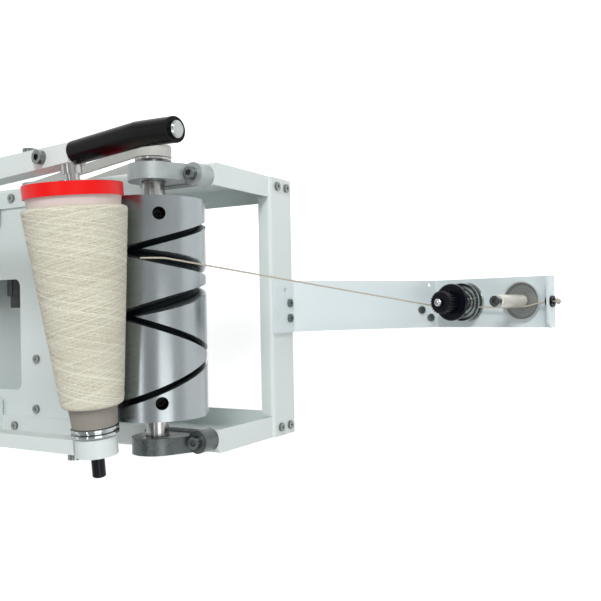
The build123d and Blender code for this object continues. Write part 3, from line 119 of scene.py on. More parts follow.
def math_node(tree, operation, a, b):
    """A Math node; a and b are sockets or numbers."""
    node = tree.nodes.new("ShaderNodeMath")
    node.operation = operation
    for slot, value in zip(node.inputs, (a, b)):
        if isinstance(value, (int, float)):
            slot.default_value = value
        else:
            tree.links.new(value, slot)
    return node.outputs[0]


def ranged(tree, value, low, high, to_low=0.0, to_high=1.0):
    """A Map Range node: value from low..high to to_low..to_high, held at both ends."""
    node = tree.nodes.new("ShaderNodeMapRange")
    for label, number in (("From Min", low), ("From Max", high), ("To Min", to_low), ("To Max", to_high)):
        node.inputs[label].default_value = number
    tree.links.new(value, node.inputs["Value"])
    return node.outputs["Result"]


def scaled(tree, colour, level):
    """A colour times a level; both are sockets."""
    node = tree.nodes.new("ShaderNodeVectorMath")
    node.operation = "SCALE"
    tree.links.new(colour, node.inputs[0])
    tree.links.new(level, node.inputs["Scale"])
    return node.outputs[0]


def blank_finish(name):
    """A new material, its node tree and its shader."""
    made = bpy.data.materials.new(name)
    made.use_nodes = True
    return made, made.node_tree, made.node_tree.nodes["Principled BSDF"]


def object_spot(tree):
    """Object coordinates."""
    return tree.nodes.new("ShaderNodeTexCoord").outputs["Object"]


def split_spot(tree, vector):
    """The X, Y and Z outputs of a vector."""
    node = tree.nodes.new("ShaderNodeSeparateXYZ")
    tree.links.new(vector, node.inputs[0])
    return node.outputs


def noise_at(tree, vector, **values):
    """A noise's Fac output, read at vector."""
    node = place(tree, "ShaderNodeTexNoise", **values)
    tree.links.new(vector, node.inputs["Vector"])
    return node.outputs["Fac"]


def build_tone():
    """Tone: the paint's colour lightened and darkened by two sizes of noise."""
    tree, start, end = new_group(
        "tone", {"Colour": (0.8, 0.8, 0.8, 1.0), "Spread": 0.06, "Size": 30.0, "Fine": 900.0},
        {"Colour": "NodeSocketColor"})
    spot = tree.nodes.new("ShaderNodeTexCoord")
    broad = place(tree, "ShaderNodeTexNoise", Detail=4.0)
    fine = place(tree, "ShaderNodeTexNoise", Detail=2.0)
    for noise, label in ((broad, "Size"), (fine, "Fine")):
        tree.links.new(spot.outputs["Object"], noise.inputs["Vector"])
        tree.links.new(start.outputs[label], noise.inputs["Scale"])
    both = math_node(tree, "ADD", broad.outputs["Fac"], fine.outputs["Fac"])
    centred = math_node(tree, "SUBTRACT", both, 1.0)
    swing = math_node(tree, "MULTIPLY", centred, start.outputs["Spread"])
    level = math_node(tree, "ADD", swing, 1.0)
    tree.links.new(scaled(tree, start.outputs["Colour"], level), end.inputs["Colour"])
    return tree


def build_skin():
    """Skin: a noise height as bump, and the same noise as a change of roughness."""
    tree, start, end = new_group(
        "skin", {"Size": 700.0, "Depth": 0.00004, "Rough": 0.4, "Rough spread": 0.1, "Smudge": 18.0},
        {"Normal": "NodeSocketVector", "Roughness": "NodeSocketFloat"})
    spot = tree.nodes.new("ShaderNodeTexCoord")
    grain = place(tree, "ShaderNodeTexNoise", Detail=3.0)
    tree.links.new(spot.outputs["Object"], grain.inputs["Vector"])
    tree.links.new(start.outputs["Size"], grain.inputs["Scale"])
    bump = place(tree, "ShaderNodeBump", Strength=1.0)
    tree.links.new(start.outputs["Depth"], bump.inputs["Distance"])
    tree.links.new(grain.outputs["Fac"], bump.inputs["Height"])
    smudge = place(tree, "ShaderNodeTexNoise", Detail=5.0)
    tree.links.new(spot.outputs["Object"], smudge.inputs["Vector"])
    tree.links.new(start.outputs["Smudge"], smudge.inputs["Scale"])
    centred = math_node(tree, "SUBTRACT", smudge.outputs["Fac"], 0.5)
    swing = math_node(tree, "MULTIPLY", centred, start.outputs["Rough spread"])
    level = math_node(tree, "ADD", swing, start.outputs["Rough"])
    tree.links.new(bump.outputs["Normal"], end.inputs["Normal"])
    tree.links.new(level, end.inputs["Roughness"])
    return tree


def build_turning():
    """Turning marks: fine bands along X, as a lathe or grinder leaves them on the drum and shafts."""
    tree, start, end = new_group(
        "turning", {"Size": 2600.0, "Depth": 0.00001, "Rough": 0.25, "Rough spread": 0.12},
        {"Normal": "NodeSocketVector", "Roughness": "NodeSocketFloat", "Shade": "NodeSocketFloat"})
    spot = tree.nodes.new("ShaderNodeTexCoord")
    flat = place(tree, "ShaderNodeMapping")
    flat.inputs["Scale"].default_value = (1.0, 0.02, 0.02)
    tree.links.new(spot.outputs["Object"], flat.inputs["Vector"])
    lines = place(tree, "ShaderNodeTexNoise", Detail=4.0)
    tree.links.new(flat.outputs["Vector"], lines.inputs["Vector"])
    tree.links.new(start.outputs["Size"], lines.inputs["Scale"])
    bump = place(tree, "ShaderNodeBump", Strength=1.0)
    tree.links.new(start.outputs["Depth"], bump.inputs["Distance"])
    tree.links.new(lines.outputs["Fac"], bump.inputs["Height"])
    centred = math_node(tree, "SUBTRACT", lines.outputs["Fac"], 0.5)
    swing = math_node(tree, "MULTIPLY", centred, start.outputs["Rough spread"])
    level = math_node(tree, "ADD", swing, start.outputs["Rough"])
    tree.links.new(bump.outputs["Normal"], end.inputs["Normal"])
    tree.links.new(level, end.inputs["Roughness"])
    tree.links.new(lines.outputs["Fac"], end.inputs["Shade"])
    return tree


tone_group = build_tone()
skin_group = build_skin()
turning_group = build_turning()


def grouped(tree, group, **values):
    """A group node with its inputs set; an underscore in a key stands for a space."""
    node = tree.nodes.new("ShaderNodeGroup")
    node.node_tree = group
    for key, value in values.items():
        node.inputs[key.replace("_", " ")].default_value = value
    return node


def finish(name, colour, spread, size, fine, metallic=0.0, skin=None, turned=None, **sockets):
    """A finish: tone on the base colour, skin or turning marks for bump and roughness, and constants on the
    shader's own sockets."""
    made, tree, shader = blank_finish(name)
    tone = grouped(tree, tone_group, Colour=(*colour, 1.0), Spread=spread, Size=size, Fine=fine)
    tree.links.new(tone.outputs["Colour"], shader.inputs["Base Color"])
    surface = grouped(tree, turning_group, **turned) if turned else grouped(tree, skin_group, **skin)
    tree.links.new(surface.outputs["Normal"], shader.inputs["Normal"])
    tree.links.new(surface.outputs["Roughness"], shader.inputs["Roughness"])
    shader.inputs["Metallic"].default_value = metallic
    for key, value in sockets.items():
        shader.inputs[key.replace("_", " ")].default_value = value
    return made


frame_paint = finish("white_powder_coat", (0.68, 0.75, 0.735), 0.05, 9.0, 500.0,
                     skin={"Size": 900.0, "Depth": 0.00006, "Rough": 0.40, "Rough_spread": 0.16})
arm_paint = finish("blue_white_powder_coat", (0.70, 0.78, 0.80), 0.06, 14.0, 500.0,
                   skin={"Size": 900.0, "Depth": 0.00006, "Rough": 0.34, "Rough_spread": 0.16})
cast_alloy = finish("cast_alloy", (0.34, 0.38, 0.38), 0.55, 70.0, 1500.0, 0.45,
                    skin={"Size": 1100.0, "Depth": 0.00018, "Rough": 0.40, "Rough_spread": 0.30,
                          "Smudge": 60.0})
# A darker copy of the cast alloy for the left drum bracket: painted shade, while the right bracket keeps the
# lit colour.
shaded_alloy = finish("shaded_cast_alloy", (0.085, 0.10, 0.10), 0.70, 70.0, 1500.0, 0.55,
                    skin={"Size": 1100.0, "Depth": 0.00018, "Rough": 0.30, "Rough_spread": 0.30,
                          "Smudge": 60.0})
ground_steel = finish("ground_steel", (0.36, 0.36, 0.35), 0.25, 120.0, 1200.0, 1.0,
                      turned={"Size": 4200.0, "Depth": 0.000020, "Rough": 0.20, "Rough_spread": 0.3})
screw_steel = finish("zinc_plate", (0.52, 0.54, 0.53), 0.35, 300.0, 2500.0, 1.0,
                     skin={"Size": 2500.0, "Depth": 0.00003, "Rough": 0.22, "Rough_spread": 0.25,
                          "Smudge": 150.0})
dark_zinc = finish("dark_zinc_plate", (0.20, 0.22, 0.215), 0.45, 300.0, 2500.0, 1.0,
                   skin={"Size": 2500.0, "Depth": 0.00004, "Rough": 0.20, "Rough_spread": 0.30,
                         "Smudge": 150.0})
black_oxide = finish("black_oxide", (0.012, 0.013, 0.014), 0.2, 200.0, 2000.0, 0.6,
                     skin={"Size": 2000.0, "Depth": 0.00003, "Rough": 0.50, "Rough_spread": 0.2})
chrome = finish("polished_chrome", (0.36, 0.39, 0.39), 0.06, 60.0, 900.0, 1.0,
                skin={"Size": 300.0, "Depth": 0.000008, "Rough": 0.09, "Rough_spread": 0.08})
cap_nickel = finish("worn_nickel", (0.34, 0.36, 0.36), 0.25, 200.0, 900.0, 1.0,
                    skin={"Size": 700.0, "Depth": 0.00003, "Rough": 0.22, "Rough_spread": 0.2})
belt_pu = finish("pale_polyurethane", (0.46, 0.47, 0.44), 0.25, 160.0, 1500.0,
                 skin={"Size": 1600.0, "Depth": 0.00008, "Rough": 0.48, "Rough_spread": 0.2})
motor_paint = finish("motor_paint", (0.022, 0.025, 0.028), 0.2, 40.0, 900.0, 0.1,
                     skin={"Size": 800.0, "Depth": 0.0001, "Rough": 0.45, "Rough_spread": 0.2},
                     Specular_IOR_Level=0.3)
grip_rubber = finish("grip_rubber", (0.002, 0.002, 0.003), 0.3, 70.0, 900.0,
                     skin={"Size": 700.0, "Depth": 0.00006, "Rough": 0.24, "Rough_spread": 0.18,
                           "Smudge": 50.0},
                     Specular_IOR_Level=0.09)
black_plastic = finish("black_moulding", (0.004, 0.005, 0.009), 0.25, 90.0, 1100.0,
                       skin={"Size": 1100.0, "Depth": 0.00004, "Rough": 0.26, "Rough_spread": 0.15},
                       Specular_IOR_Level=0.16)
red_plastic = finish("red_moulding", (0.78, 0.005, 0.004), 0.10, 60.0, 900.0,
                     skin={"Size": 500.0, "Depth": 0.00003, "Rough": 0.34, "Rough_spread": 0.12},
                     Specular_IOR_Level=0.25)
ceramic = finish("cream_ceramic", (0.66, 0.65, 0.58), 0.06, 70.0, 1200.0,
                 skin={"Size": 400.0, "Depth": 0.00002, "Rough": 0.24, "Rough_spread": 0.1},
                 Coat_Weight=0.4, Coat_Roughness=0.08)


def mixed(tree, mask, low, high):
    """A colour Mix node: low where the mask is 0, high where it is 1; each is a socket or a colour."""
    node = tree.nodes.new("ShaderNodeMix")
    node.data_type = "RGBA"
    tree.links.new(mask, node.inputs[0])
    for slot, value in ((node.inputs[6], low), (node.inputs[7], high)):
        if isinstance(value, tuple):
            slot.default_value = value
        else:
            tree.links.new(value, slot)
    return node.outputs[2]


def build_drum_alloy():
    """Drum alloy: turned aluminium, with painted shade, near black, where the surface lies deeper than the
    drum's skin, and a painted highlight in a thin bright band just under it. The reach is the distance from
    the drum's axis, in Object coordinates; past the grooved length the dished ends keep the alloy's colour."""
    # Painted shade: from 1.4 mm under the drum's skin down to 6.4 mm the colour goes to near black, in the
    # grooves and the set-screw holes.
    groove_shade_full, groove_shade_none = (DRUM_R - 6.4) * MM, (DRUM_R - 1.4) * MM
    # Painted highlight: a thin bright band from 1.3 to 0.35 mm under the drum's skin, along the groove edges.
    worn_rise = (DRUM_R - 1.3) * MM, (DRUM_R - 0.9) * MM
    worn_fall = (DRUM_R - 0.6) * MM, (DRUM_R - 0.35) * MM
    line_depth, groove_roughness = 0.14, 0.35
    made, tree, shader = blank_finish("turned_drum_alloy")
    x, y, z = split_spot(tree, object_spot(tree))
    across = math_node(tree, "SUBTRACT", y, DRUM_Y * MM)
    up = math_node(tree, "SUBTRACT", z, DRUM_Z * MM)
    across_square = math_node(tree, "POWER", across, 2.0)
    up_square = math_node(tree, "POWER", up, 2.0)
    reach = math_node(tree, "SQRT", math_node(tree, "ADD", across_square, up_square), 0.0)
    unshaded = ranged(tree, reach, groove_shade_full, groove_shade_none)
    outside = math_node(tree, "GREATER_THAN", math_node(tree, "ABSOLUTE", x, 0.0), GROOVED_HALF * MM)
    mask = math_node(tree, "MAXIMUM", unshaded, outside)
    tone = grouped(tree, tone_group, Colour=(0.275, 0.305, 0.315, 1.0), Spread=0.10, Size=22.0, Fine=300.0)
    turned = grouped(tree, turning_group, Size=3000.0, Depth=0.000006, Rough=0.24, Rough_spread=0.10)
    line_part = math_node(tree, "MULTIPLY", turned.outputs["Shade"], line_depth)
    lined = scaled(tree, tone.outputs["Colour"], math_node(tree, "ADD", line_part, 1.0 - line_depth / 2))
    rising = ranged(tree, reach, *worn_rise)
    falling = ranged(tree, reach, *worn_fall, 1.0, 0.0)
    worn = math_node(tree, "MULTIPLY", rising, falling)
    # Painted shade, near black, in the grooves and holes.
    groove_shaded = mixed(tree, mask, (0.004, 0.007, 0.008, 1.0), lined)
    # Painted highlight along the groove edges.
    colour = mixed(tree, worn, groove_shaded, (0.72, 0.74, 0.73, 1.0))
    depth = math_node(tree, "SUBTRACT", 1.0, mask)
    rougher = math_node(tree, "MULTIPLY", depth, groove_roughness)
    tree.links.new(colour, shader.inputs["Base Color"])
    tree.links.new(math_node(tree, "ADD", turned.outputs["Roughness"], rougher), shader.inputs["Roughness"])
    tree.links.new(turned.outputs["Normal"], shader.inputs["Normal"])
    shader.inputs["Metallic"].default_value = 0.92
    return made


def build_tube_board():
    """Tube board: a wound paper cone, with a colour that goes along X from painted shade at the small end to
    painted light, pink with a painted reflection of the red rim, at the big end, and its lengthwise fibres as
    bump."""
    small_end, big_end = -0.075, 0.070
    made, tree, shader = blank_finish("wound_tube_board")
    spot = object_spot(tree)
    along = ranged(tree, split_spot(tree, spot)["X"], small_end, big_end)
    tone = grouped(tree, tone_group, Spread=0.16, Size=70.0, Fine=1800.0)
    # Painted shade at the small end; painted light with a pink painted reflection of the red rim at the big
    # end.
    board = mixed(tree, along, (0.27, 0.25, 0.215, 1.0), (0.64, 0.545, 0.52, 1.0))
    tree.links.new(board, tone.inputs["Colour"])
    long_way = place(tree, "ShaderNodeMapping")
    long_way.inputs["Scale"].default_value = (6.0, 60.0, 60.0)
    tree.links.new(spot, long_way.inputs["Vector"])
    fibre = noise_at(tree, long_way.outputs["Vector"], Scale=30.0, Detail=5.0)
    bump = place(tree, "ShaderNodeBump", Strength=1.0, Distance=0.00006)
    tree.links.new(fibre, bump.inputs["Height"])
    tree.links.new(tone.outputs["Colour"], shader.inputs["Base Color"])
    tree.links.new(bump.outputs["Normal"], shader.inputs["Normal"])
    shader.inputs["Roughness"].default_value = 0.62
    return made


def wound_spot(tree):
    """The X and Y outputs of the wound pieces' own UV map."""
    spot = tree.nodes.new("ShaderNodeUVMap")
    spot.uv_map = "wound"
    return split_spot(tree, spot.outputs["UV"])


def yarn_shader(tree, shader, shade, stops, bump, height, roughness):
    """Colours a yarn by shade, with a ramp of two (position, colour) stops, and raises it by height."""
    ramp = tree.nodes.new("ShaderNodeValToRGB")
    for element, (position, colour) in zip(ramp.color_ramp.elements, stops):
        element.position = position
        element.color = (*colour, 1.0)
    tree.links.new(shade, ramp.inputs["Fac"])
    tree.links.new(height, bump.inputs["Height"])
    tree.links.new(ramp.outputs["Color"], shader.inputs["Base Color"])
    tree.links.new(bump.outputs["Normal"], shader.inputs["Normal"])
    shader.inputs["Roughness"].default_value = roughness
    shader.inputs["Sheen Weight"].default_value = 0.2


def build_under_yarn():
    """Yarn below the outer threads: crossed stripes of finer thread, with painted shade in the hollows
    between, where the colour darkens with the height.
    The piece's own UV map runs round (u) and along (v); stripes lie on u*starts plus and minus v*laps."""
    starts, laps, wander = 31.0, 105.0, 9.0
    ridge_height, fuzz_height = 0.75, 0.35
    made, tree, shader = blank_finish("package_yarn")
    wound = wound_spot(tree)
    spot = object_spot(tree)
    drift = noise_at(tree, spot, Scale=160.0, Detail=2.0)
    drifting = math_node(tree, "MULTIPLY", drift, wander)
    ridges = []
    for sign in (1.0, -1.0):
        round_part = math_node(tree, "MULTIPLY", wound["X"], starts * 2 * math.pi)
        long_part = math_node(tree, "MULTIPLY", wound["Y"], sign * laps * 2 * math.pi)
        phase = math_node(tree, "ADD", math_node(tree, "ADD", round_part, long_part), drifting)
        ridges.append(math_node(tree, "ABSOLUTE", math_node(tree, "COSINE", phase, 0.0), 0.0))
    ridge = math_node(tree, "MULTIPLY", math_node(tree, "MAXIMUM", *ridges), ridge_height)
    fuzz = math_node(tree, "MULTIPLY", noise_at(tree, spot, Scale=1400.0, Detail=4.0), fuzz_height)
    level = math_node(tree, "ADD", ridge, fuzz)
    bump = place(tree, "ShaderNodeBump", Strength=1.0, Distance=0.0003)
    # The ramp's dark end is painted shade in the hollows between stripes.
    stops = (0.30, (0.30, 0.285, 0.20)), (0.85, (0.66, 0.64, 0.51))
    yarn_shader(tree, shader, level, stops, bump, level, 0.85)
    return made


def build_outer_yarn():
    """Outer thread: the UV map's u is the shade of that stretch, its v the distance along in millimetres, for
    the ply's twist."""
    twist_mm = 1.1
    made, tree, shader = blank_finish("outer_yarn")
    wound = wound_spot(tree)
    twist = math_node(tree, "SINE", math_node(tree, "MULTIPLY", wound["Y"], 2 * math.pi / twist_mm), 0.0)
    bump = place(tree, "ShaderNodeBump", Strength=0.6, Distance=0.0001)
    stops = (0.0, (0.50, 0.47, 0.36)), (1.0, (0.88, 0.865, 0.75))
    yarn_shader(tree, shader, wound["X"], stops, bump, twist, 0.8)
    return made


def build_spun_steel(name, centre, light, dark, pitch, rim, rim_highlight_colour, rough):
    """Spun steel: rings round an axis square to the end plate, as the spinning tool leaves them; on the
    tension discs their near-black bands are a painted reflection. The distance from that axis gives a sine of
    the given pitch between the two colours, and past rim a brighter colour on the edge, a painted highlight."""
    made, tree, shader = blank_finish(name)
    offset = place(tree, "ShaderNodeVectorMath", operation="SUBTRACT")
    offset.inputs[1].default_value = tuple(centre * MM)
    tree.links.new(object_spot(tree), offset.inputs[0])
    crossed = place(tree, "ShaderNodeVectorMath", operation="CROSS_PRODUCT")
    crossed.inputs[1].default_value = tuple(PLATE_UP)
    tree.links.new(offset.outputs[0], crossed.inputs[0])
    distance = place(tree, "ShaderNodeVectorMath", operation="LENGTH")
    tree.links.new(crossed.outputs[0], distance.inputs[0])
    away = distance.outputs["Value"]
    wave = math_node(tree, "SINE", math_node(tree, "MULTIPLY", away, 2 * math.pi / (pitch * MM)), 0.0)
    ring = math_node(tree, "ADD", math_node(tree, "MULTIPLY", wave, 0.5), 0.5)
    banded = mixed(tree, ring, (*dark, 1.0), (*light, 1.0))
    # Painted highlight on the edge past the rim.
    edge = ranged(tree, away, (rim - 0.3) * MM, (rim + 0.2) * MM)
    rimmed = mixed(tree, edge, banded, (*rim_highlight_colour, 1.0))
    tone = grouped(tree, tone_group, Spread=0.14, Size=90.0, Fine=1600.0)
    tree.links.new(rimmed, tone.inputs["Colour"])
    surface = grouped(tree, skin_group, Size=1800.0, Depth=0.00002, Rough=rough, Rough_spread=0.15)
    tree.links.new(tone.outputs["Colour"], shader.inputs["Base Color"])
    tree.links.new(surface.outputs["Normal"], shader.inputs["Normal"])
    tree.links.new(surface.outputs["Roughness"], shader.inputs["Roughness"])
    shader.inputs["Metallic"].default_value = 0.9
    return made


drum_alloy = build_drum_alloy()
# On the tension discs the near-black rings are a painted reflection; on the discs and the dish the rim colour
# is a painted highlight.
disc_steel = build_spun_steel(
    "polished_disc_steel", over_plate(POST_X, TENSION_T, 0.0), light=(0.62, 0.66, 0.65),
    dark=(0.045, 0.06, 0.06), pitch=4.6, rim=18.6, rim_highlight_colour=(0.72, 0.75, 0.74), rough=0.20)
spun_steel = build_spun_steel(
    "spun_dish_steel", over_plate(POST_X, GUIDE_T, 0.0), light=(0.36, 0.37, 0.36),
    dark=(0.30, 0.31, 0.305), pitch=3.1, rim=17.2, rim_highlight_colour=(0.75, 0.78, 0.77), rough=0.34)
tube_board = build_tube_board()
package_yarn = build_under_yarn()
outer_yarn = build_outer_yarn()
strand_yarn = finish("strand_yarn", (0.50, 0.46, 0.38), 0.15, 800.0, 3000.0,
                     skin={"Size": 3500.0, "Depth": 0.0001, "Rough": 0.8, "Rough_spread": 0.1},
                     Sheen_Weight=0.3)

node_finish = {
    frame_paint: ["side_panel_right", "side_panel_left", "front_bar", "deck_plate", "rear_panel",
                  "pivot_bracket_right", "pivot_bracket_left", "right_arm", "left_arm", "left_hub"],
    arm_paint: ["yarn_arm"],
    cast_alloy: ["drum_bracket_right"],
    # The left bracket's darker copy is painted shade.
    shaded_alloy: ["drum_bracket_left"],
    drum_alloy: ["drum"],
    ground_steel: ["bearing_right", "bearing_left", "motor_plate", "tension_stud", "drum_shaft",
                   "drive_pulley", "motor_shaft", "motor_pulley", "spindle_bearing", "pivot_shaft",
                   "spindle"],
    screw_steel: ["motor_bolts", "pivot_bolts", "spring_washer", "tension_spring"],
    dark_zinc: ["bracket_bolts", "bar_screws", "deck_screws", "arm_screws", "guide_bolt", "arm_bolts"],
    black_oxide: ["drum_set_screws"],
    chrome: ["big_end_chuck", "small_end_chuck"],
    cap_nickel: ["grip_cap"],
    disc_steel: ["tension_disc_lower", "tension_disc_upper"],
    spun_steel: ["guide_dish"],
    belt_pu: ["drive_belt"],
    motor_paint: ["motor_housing"],
    grip_rubber: ["grip"],
    black_plastic: ["eyelet", "release_button", "tension_knob"],
    red_plastic: ["rim_flange"],
    ceramic: ["guide_sleeve"],
    tube_board: ["paper_tube"],
    package_yarn: ["yarn_package"],
    strand_yarn: ["yarn_strand"],
}
for made, names in node_finish.items():
    for name in names:
        mesh = nodes[name].data
        mesh.materials.clear()
        mesh.materials.append(made)


# ---- surfaces worked out on grids --------------------------------------------------------------
def grid_piece(name, points, material, uv=None, body="frame"):
    """A smooth mesh from a (rows, columns, 3) grid in millimetres, whose columns close on themselves.
    uv is a pair of whole arrays (rows, columns + 1) for the map named wound."""
    rows, cols = points.shape[:2]
    spots = points.reshape(-1, 3) * MM
    i, j = np.meshgrid(np.arange(rows - 1), np.arange(cols), indexing="ij")
    jn = (j + 1) % cols
    quads = np.stack([i * cols + j, i * cols + jn, (i + 1) * cols + jn, (i + 1) * cols + j], axis=-1)
    quads = quads.reshape(-1, 4)
    mesh = bpy.data.meshes.new(name)
    mesh.vertices.add(len(spots))
    mesh.vertices.foreach_set("co", spots.ravel())
    mesh.loops.add(quads.size)
    mesh.loops.foreach_set("vertex_index", quads.ravel())
    mesh.polygons.add(len(quads))
    mesh.polygons.foreach_set("loop_start", np.arange(0, quads.size, 4))
    mesh.update(calc_edges=True)
    mesh.validate()
    if uv is not None:
        layer = mesh.uv_layers.new(name="wound")
        u, v = uv
        jj = j + 1
        corners_u = np.stack([u[i, j], u[i, jj], u[i + 1, jj], u[i + 1, j]], axis=-1).reshape(-1)
        corners_v = np.stack([v[i, j], v[i, jj], v[i + 1, jj], v[i + 1, j]], axis=-1).reshape(-1)
        layer.data.foreach_set("uv", np.stack([corners_u, corners_v], axis=-1).ravel())
    mesh.polygons.foreach_set("use_smooth", np.full(len(quads), True))
    piece = bpy.data.objects.new(name, mesh)
    scene.collection.objects.link(piece)
    mesh.materials.append(material)
    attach(piece, body)
    return piece


def spin_points(origin, axis, side, up, along, radius, turns):
    """Points of a surface of revolution: origin + axis*along + radius*(side*cos + up*sin)."""
    ring = np.linspace(0.0, 2 * math.pi, turns, endpoint=False)
    out = side[None, :] * np.cos(ring)[:, None] + up[None, :] * np.sin(ring)[:, None]
    return origin + along[:, None, None] * axis + radius[..., None] * out[None, :, :]


# ---- wound package: rounded shoulders, and the thread laid to and fro over it --------------------
PACK_LOW, PACK_HIGH = -71.1, 74.3     # its ends along the cone's axis
SHOULDER = 3.4                        # radius of its rounded shoulders
THREAD_R = 0.26
UNDER = 0.45                          # how far the body lies under the outer thread's skin
TUBE_LOW, TUBE_HIGH = -86.0, 84.0     # the paper tube's ends, and its radius at each
TUBE_LOW_R, TUBE_HIGH_R = 16.5, 34.0


def skin_radius(along):
    """The package's radius at a distance along the cone's axis."""
    return NIP_R + along * math.tan(CONE_TILT)


def tube_radius(along):
    """The paper tube's radius there."""
    return TUBE_LOW_R + (TUBE_HIGH_R - TUBE_LOW_R) * (along - TUBE_LOW) / (TUBE_HIGH - TUBE_LOW)


def wound_package():
    """Body of the package: a profile turned round the cone's axis, with quarter-circle shoulders and flat
    ends that reach down to the tube."""
    tube_gap = 0.05
    rows, cols = 120, 180
    body = np.linspace(PACK_LOW + SHOULDER, PACK_HIGH - SHOULDER, rows)
    arc = np.linspace(0.0, math.pi / 2, 9)[1:]
    low_s = body[0] - SHOULDER * np.sin(arc)
    low_r = skin_radius(body[0]) - SHOULDER * (1 - np.cos(arc))
    high_s = body[-1] + SHOULDER * np.sin(arc)
    high_r = skin_radius(body[-1]) - SHOULDER * (1 - np.cos(arc))
    low_end = np.linspace(low_r[-1], tube_radius(PACK_LOW) + tube_gap, 6)[1:]
    high_end = np.linspace(high_r[-1], tube_radius(PACK_HIGH) + tube_gap, 6)[1:]
    along = np.concatenate([np.full(5, PACK_LOW), low_s[::-1], body, high_s, np.full(5, PACK_HIGH)])
    profile = np.concatenate([low_end[::-1], low_r[::-1], skin_radius(body), high_r, high_end]) - UNDER
    radius = np.repeat(profile[:, None], cols, axis=1)
    points = spin_points(CONE_MID, CONE_AXIS, CONE_SIDE, CONE_UP, along, radius, cols)
    u = np.repeat((np.arange(cols + 1) / cols)[None, :], len(along), axis=0)
    v = np.repeat(((along - PACK_LOW) / (PACK_HIGH - PACK_LOW))[:, None], cols + 1, axis=1)
    return grid_piece("wound_package", points[:, ::-1], package_yarn, (u, v), body="cone")


def outer_thread():
    """One thread laid over the package: the angle grows steadily while the place along the axis goes to and
    fro as a triangle wave with rounded turns, a little unevenly; a four-sided section follows that line."""
    strokes, turns_a_stroke, steps_a_turn = 132, 3.39, 32
    corner = 0.992        # 1 would make the wave's turns sharp
    creep = 1.0037        # stretches that number of turns slightly
    end_gap = 1.2
    drift_mm, sway, lift_mm = 0.45, 0.25, 0.28
    rng = np.random.default_rng(7)
    count = int(strokes * turns_a_stroke * steps_a_turn)
    time = np.linspace(0.0, strokes, count)
    wave = np.arcsin(corner * np.sin(math.pi * (time - 0.5))) / math.asin(corner)
    drift = np.interp(time, np.linspace(0, strokes, strokes * 3), rng.normal(0.0, drift_mm, strokes * 3))
    half = (PACK_HIGH - PACK_LOW) / 2 - end_gap
    along = (PACK_HIGH + PACK_LOW) / 2 + np.clip(wave * half + drift, -half, half)
    angle = 2 * math.pi * turns_a_stroke * time * creep
    angle = angle + np.interp(time, np.linspace(0, strokes, strokes), rng.normal(0.0, sway, strokes))
    rise = np.interp(time, np.linspace(0, strokes, strokes * 6), rng.uniform(0.0, lift_mm, strokes * 6))
    edge = np.minimum(along - PACK_LOW, PACK_HIGH - along)
    into_shoulder = np.clip(SHOULDER - edge, 0.0, SHOULDER)
    droop = SHOULDER - np.sqrt(np.clip(SHOULDER ** 2 - into_shoulder ** 2, 0.0, None))
    radius = skin_radius(along) - droop - THREAD_R - rise
    out = CONE_SIDE[None, :] * np.cos(angle)[:, None] + CONE_UP[None, :] * np.sin(angle)[:, None]
    line = CONE_MID + CONE_AXIS * along[:, None] + out * radius[:, None]
    run = np.gradient(line, axis=0)
    length = np.concatenate([[0.0], np.cumsum(np.linalg.norm(np.diff(line, axis=0), axis=1))])
    run /= np.linalg.norm(run, axis=1)[:, None]
    side = np.cross(run, out)
    side /= np.linalg.norm(side, axis=1)[:, None]
    ring = np.linspace(0.0, 2 * math.pi, 4, endpoint=False)
    section = out[:, None, :] * np.cos(ring)[None, :, None]
    section = section + side[:, None, :] * np.sin(ring)[None, :, None]
    points = line[:, None, :] + THREAD_R * section
    shade = np.interp(time, np.linspace(0, strokes, strokes * 2), rng.uniform(0.0, 1.0, strokes * 2) ** 0.8)
    u = np.repeat(shade[:, None], 5, axis=1)
    v = np.repeat(length[:, None], 5, axis=1)
    return grid_piece("outer_thread", points, outer_yarn, (u, v), body="cone")


package = wound_package()
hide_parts("yarn_package")
thread = outer_thread()

# ---- taut strand: a smooth line over the drum's front, between the discs, past the sleeve to the eyelet --
STRAND_R = 0.7
strand_route = [
    (38.0, -127.8, 183.1),
    (38.0, -143.06, 175.66),
    (37.0, -145.92, 168.46),
    (-3.45, -259.41, -117.04),
    (-4.05, -261.54, -122.43),
    (-3.97, -263.30, -121.99),
    (-3.05, -283.35, -116.91),
    (-6.05, -341.27, -101.23),
    (0.0, -365.41, -95.74),
    (0.0, -378.01, -92.55),
]
strand_curve = bpy.data.curves.new("strand", "CURVE")
strand_curve.dimensions = "3D"
strand_curve.bevel_depth = STRAND_R * MM
strand_curve.bevel_resolution = 4
strand_curve.resolution_u = 24
strand_curve.use_fill_caps = True
spline = strand_curve.splines.new("NURBS")
spline.points.add(len(strand_route) - 1)
for point, spot in zip(spline.points, strand_route):
    point.co = (spot[0] * MM, spot[1] * MM, spot[2] * MM, 1.0)
spline.order_u = 3
spline.use_endpoint_u = True
strand = bpy.data.objects.new("strand", strand_curve)
scene.collection.objects.link(strand)
strand_curve.materials.append(strand_yarn)
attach(strand, "frame")
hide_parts("yarn_strand")


def knot():
    """End knot: a ball whose radius swells with the sine of three times the angle round plus twice the angle
    down."""
    rows, cols = 14, 28
    ball_r, swell = 2.6, 0.14
    down = np.linspace(0.02, math.pi - 0.02, rows)[:, None]
    round_ = np.linspace(0.0, 2 * math.pi, cols, endpoint=False)[None, :]
    radius = ball_r * (1.0 + swell * np.sin(3 * round_ + 2 * down))
    away = np.cos(down) + 0 * round_
    out = np.stack([np.sin(down) * np.cos(round_), away, np.sin(down) * np.sin(round_)], axis=-1)
    centre = np.array(strand_route[-1])
    return grid_piece("strand_knot", (centre + radius[..., None] * out)[:, ::-1], strand_yarn)


end_knot = knot()

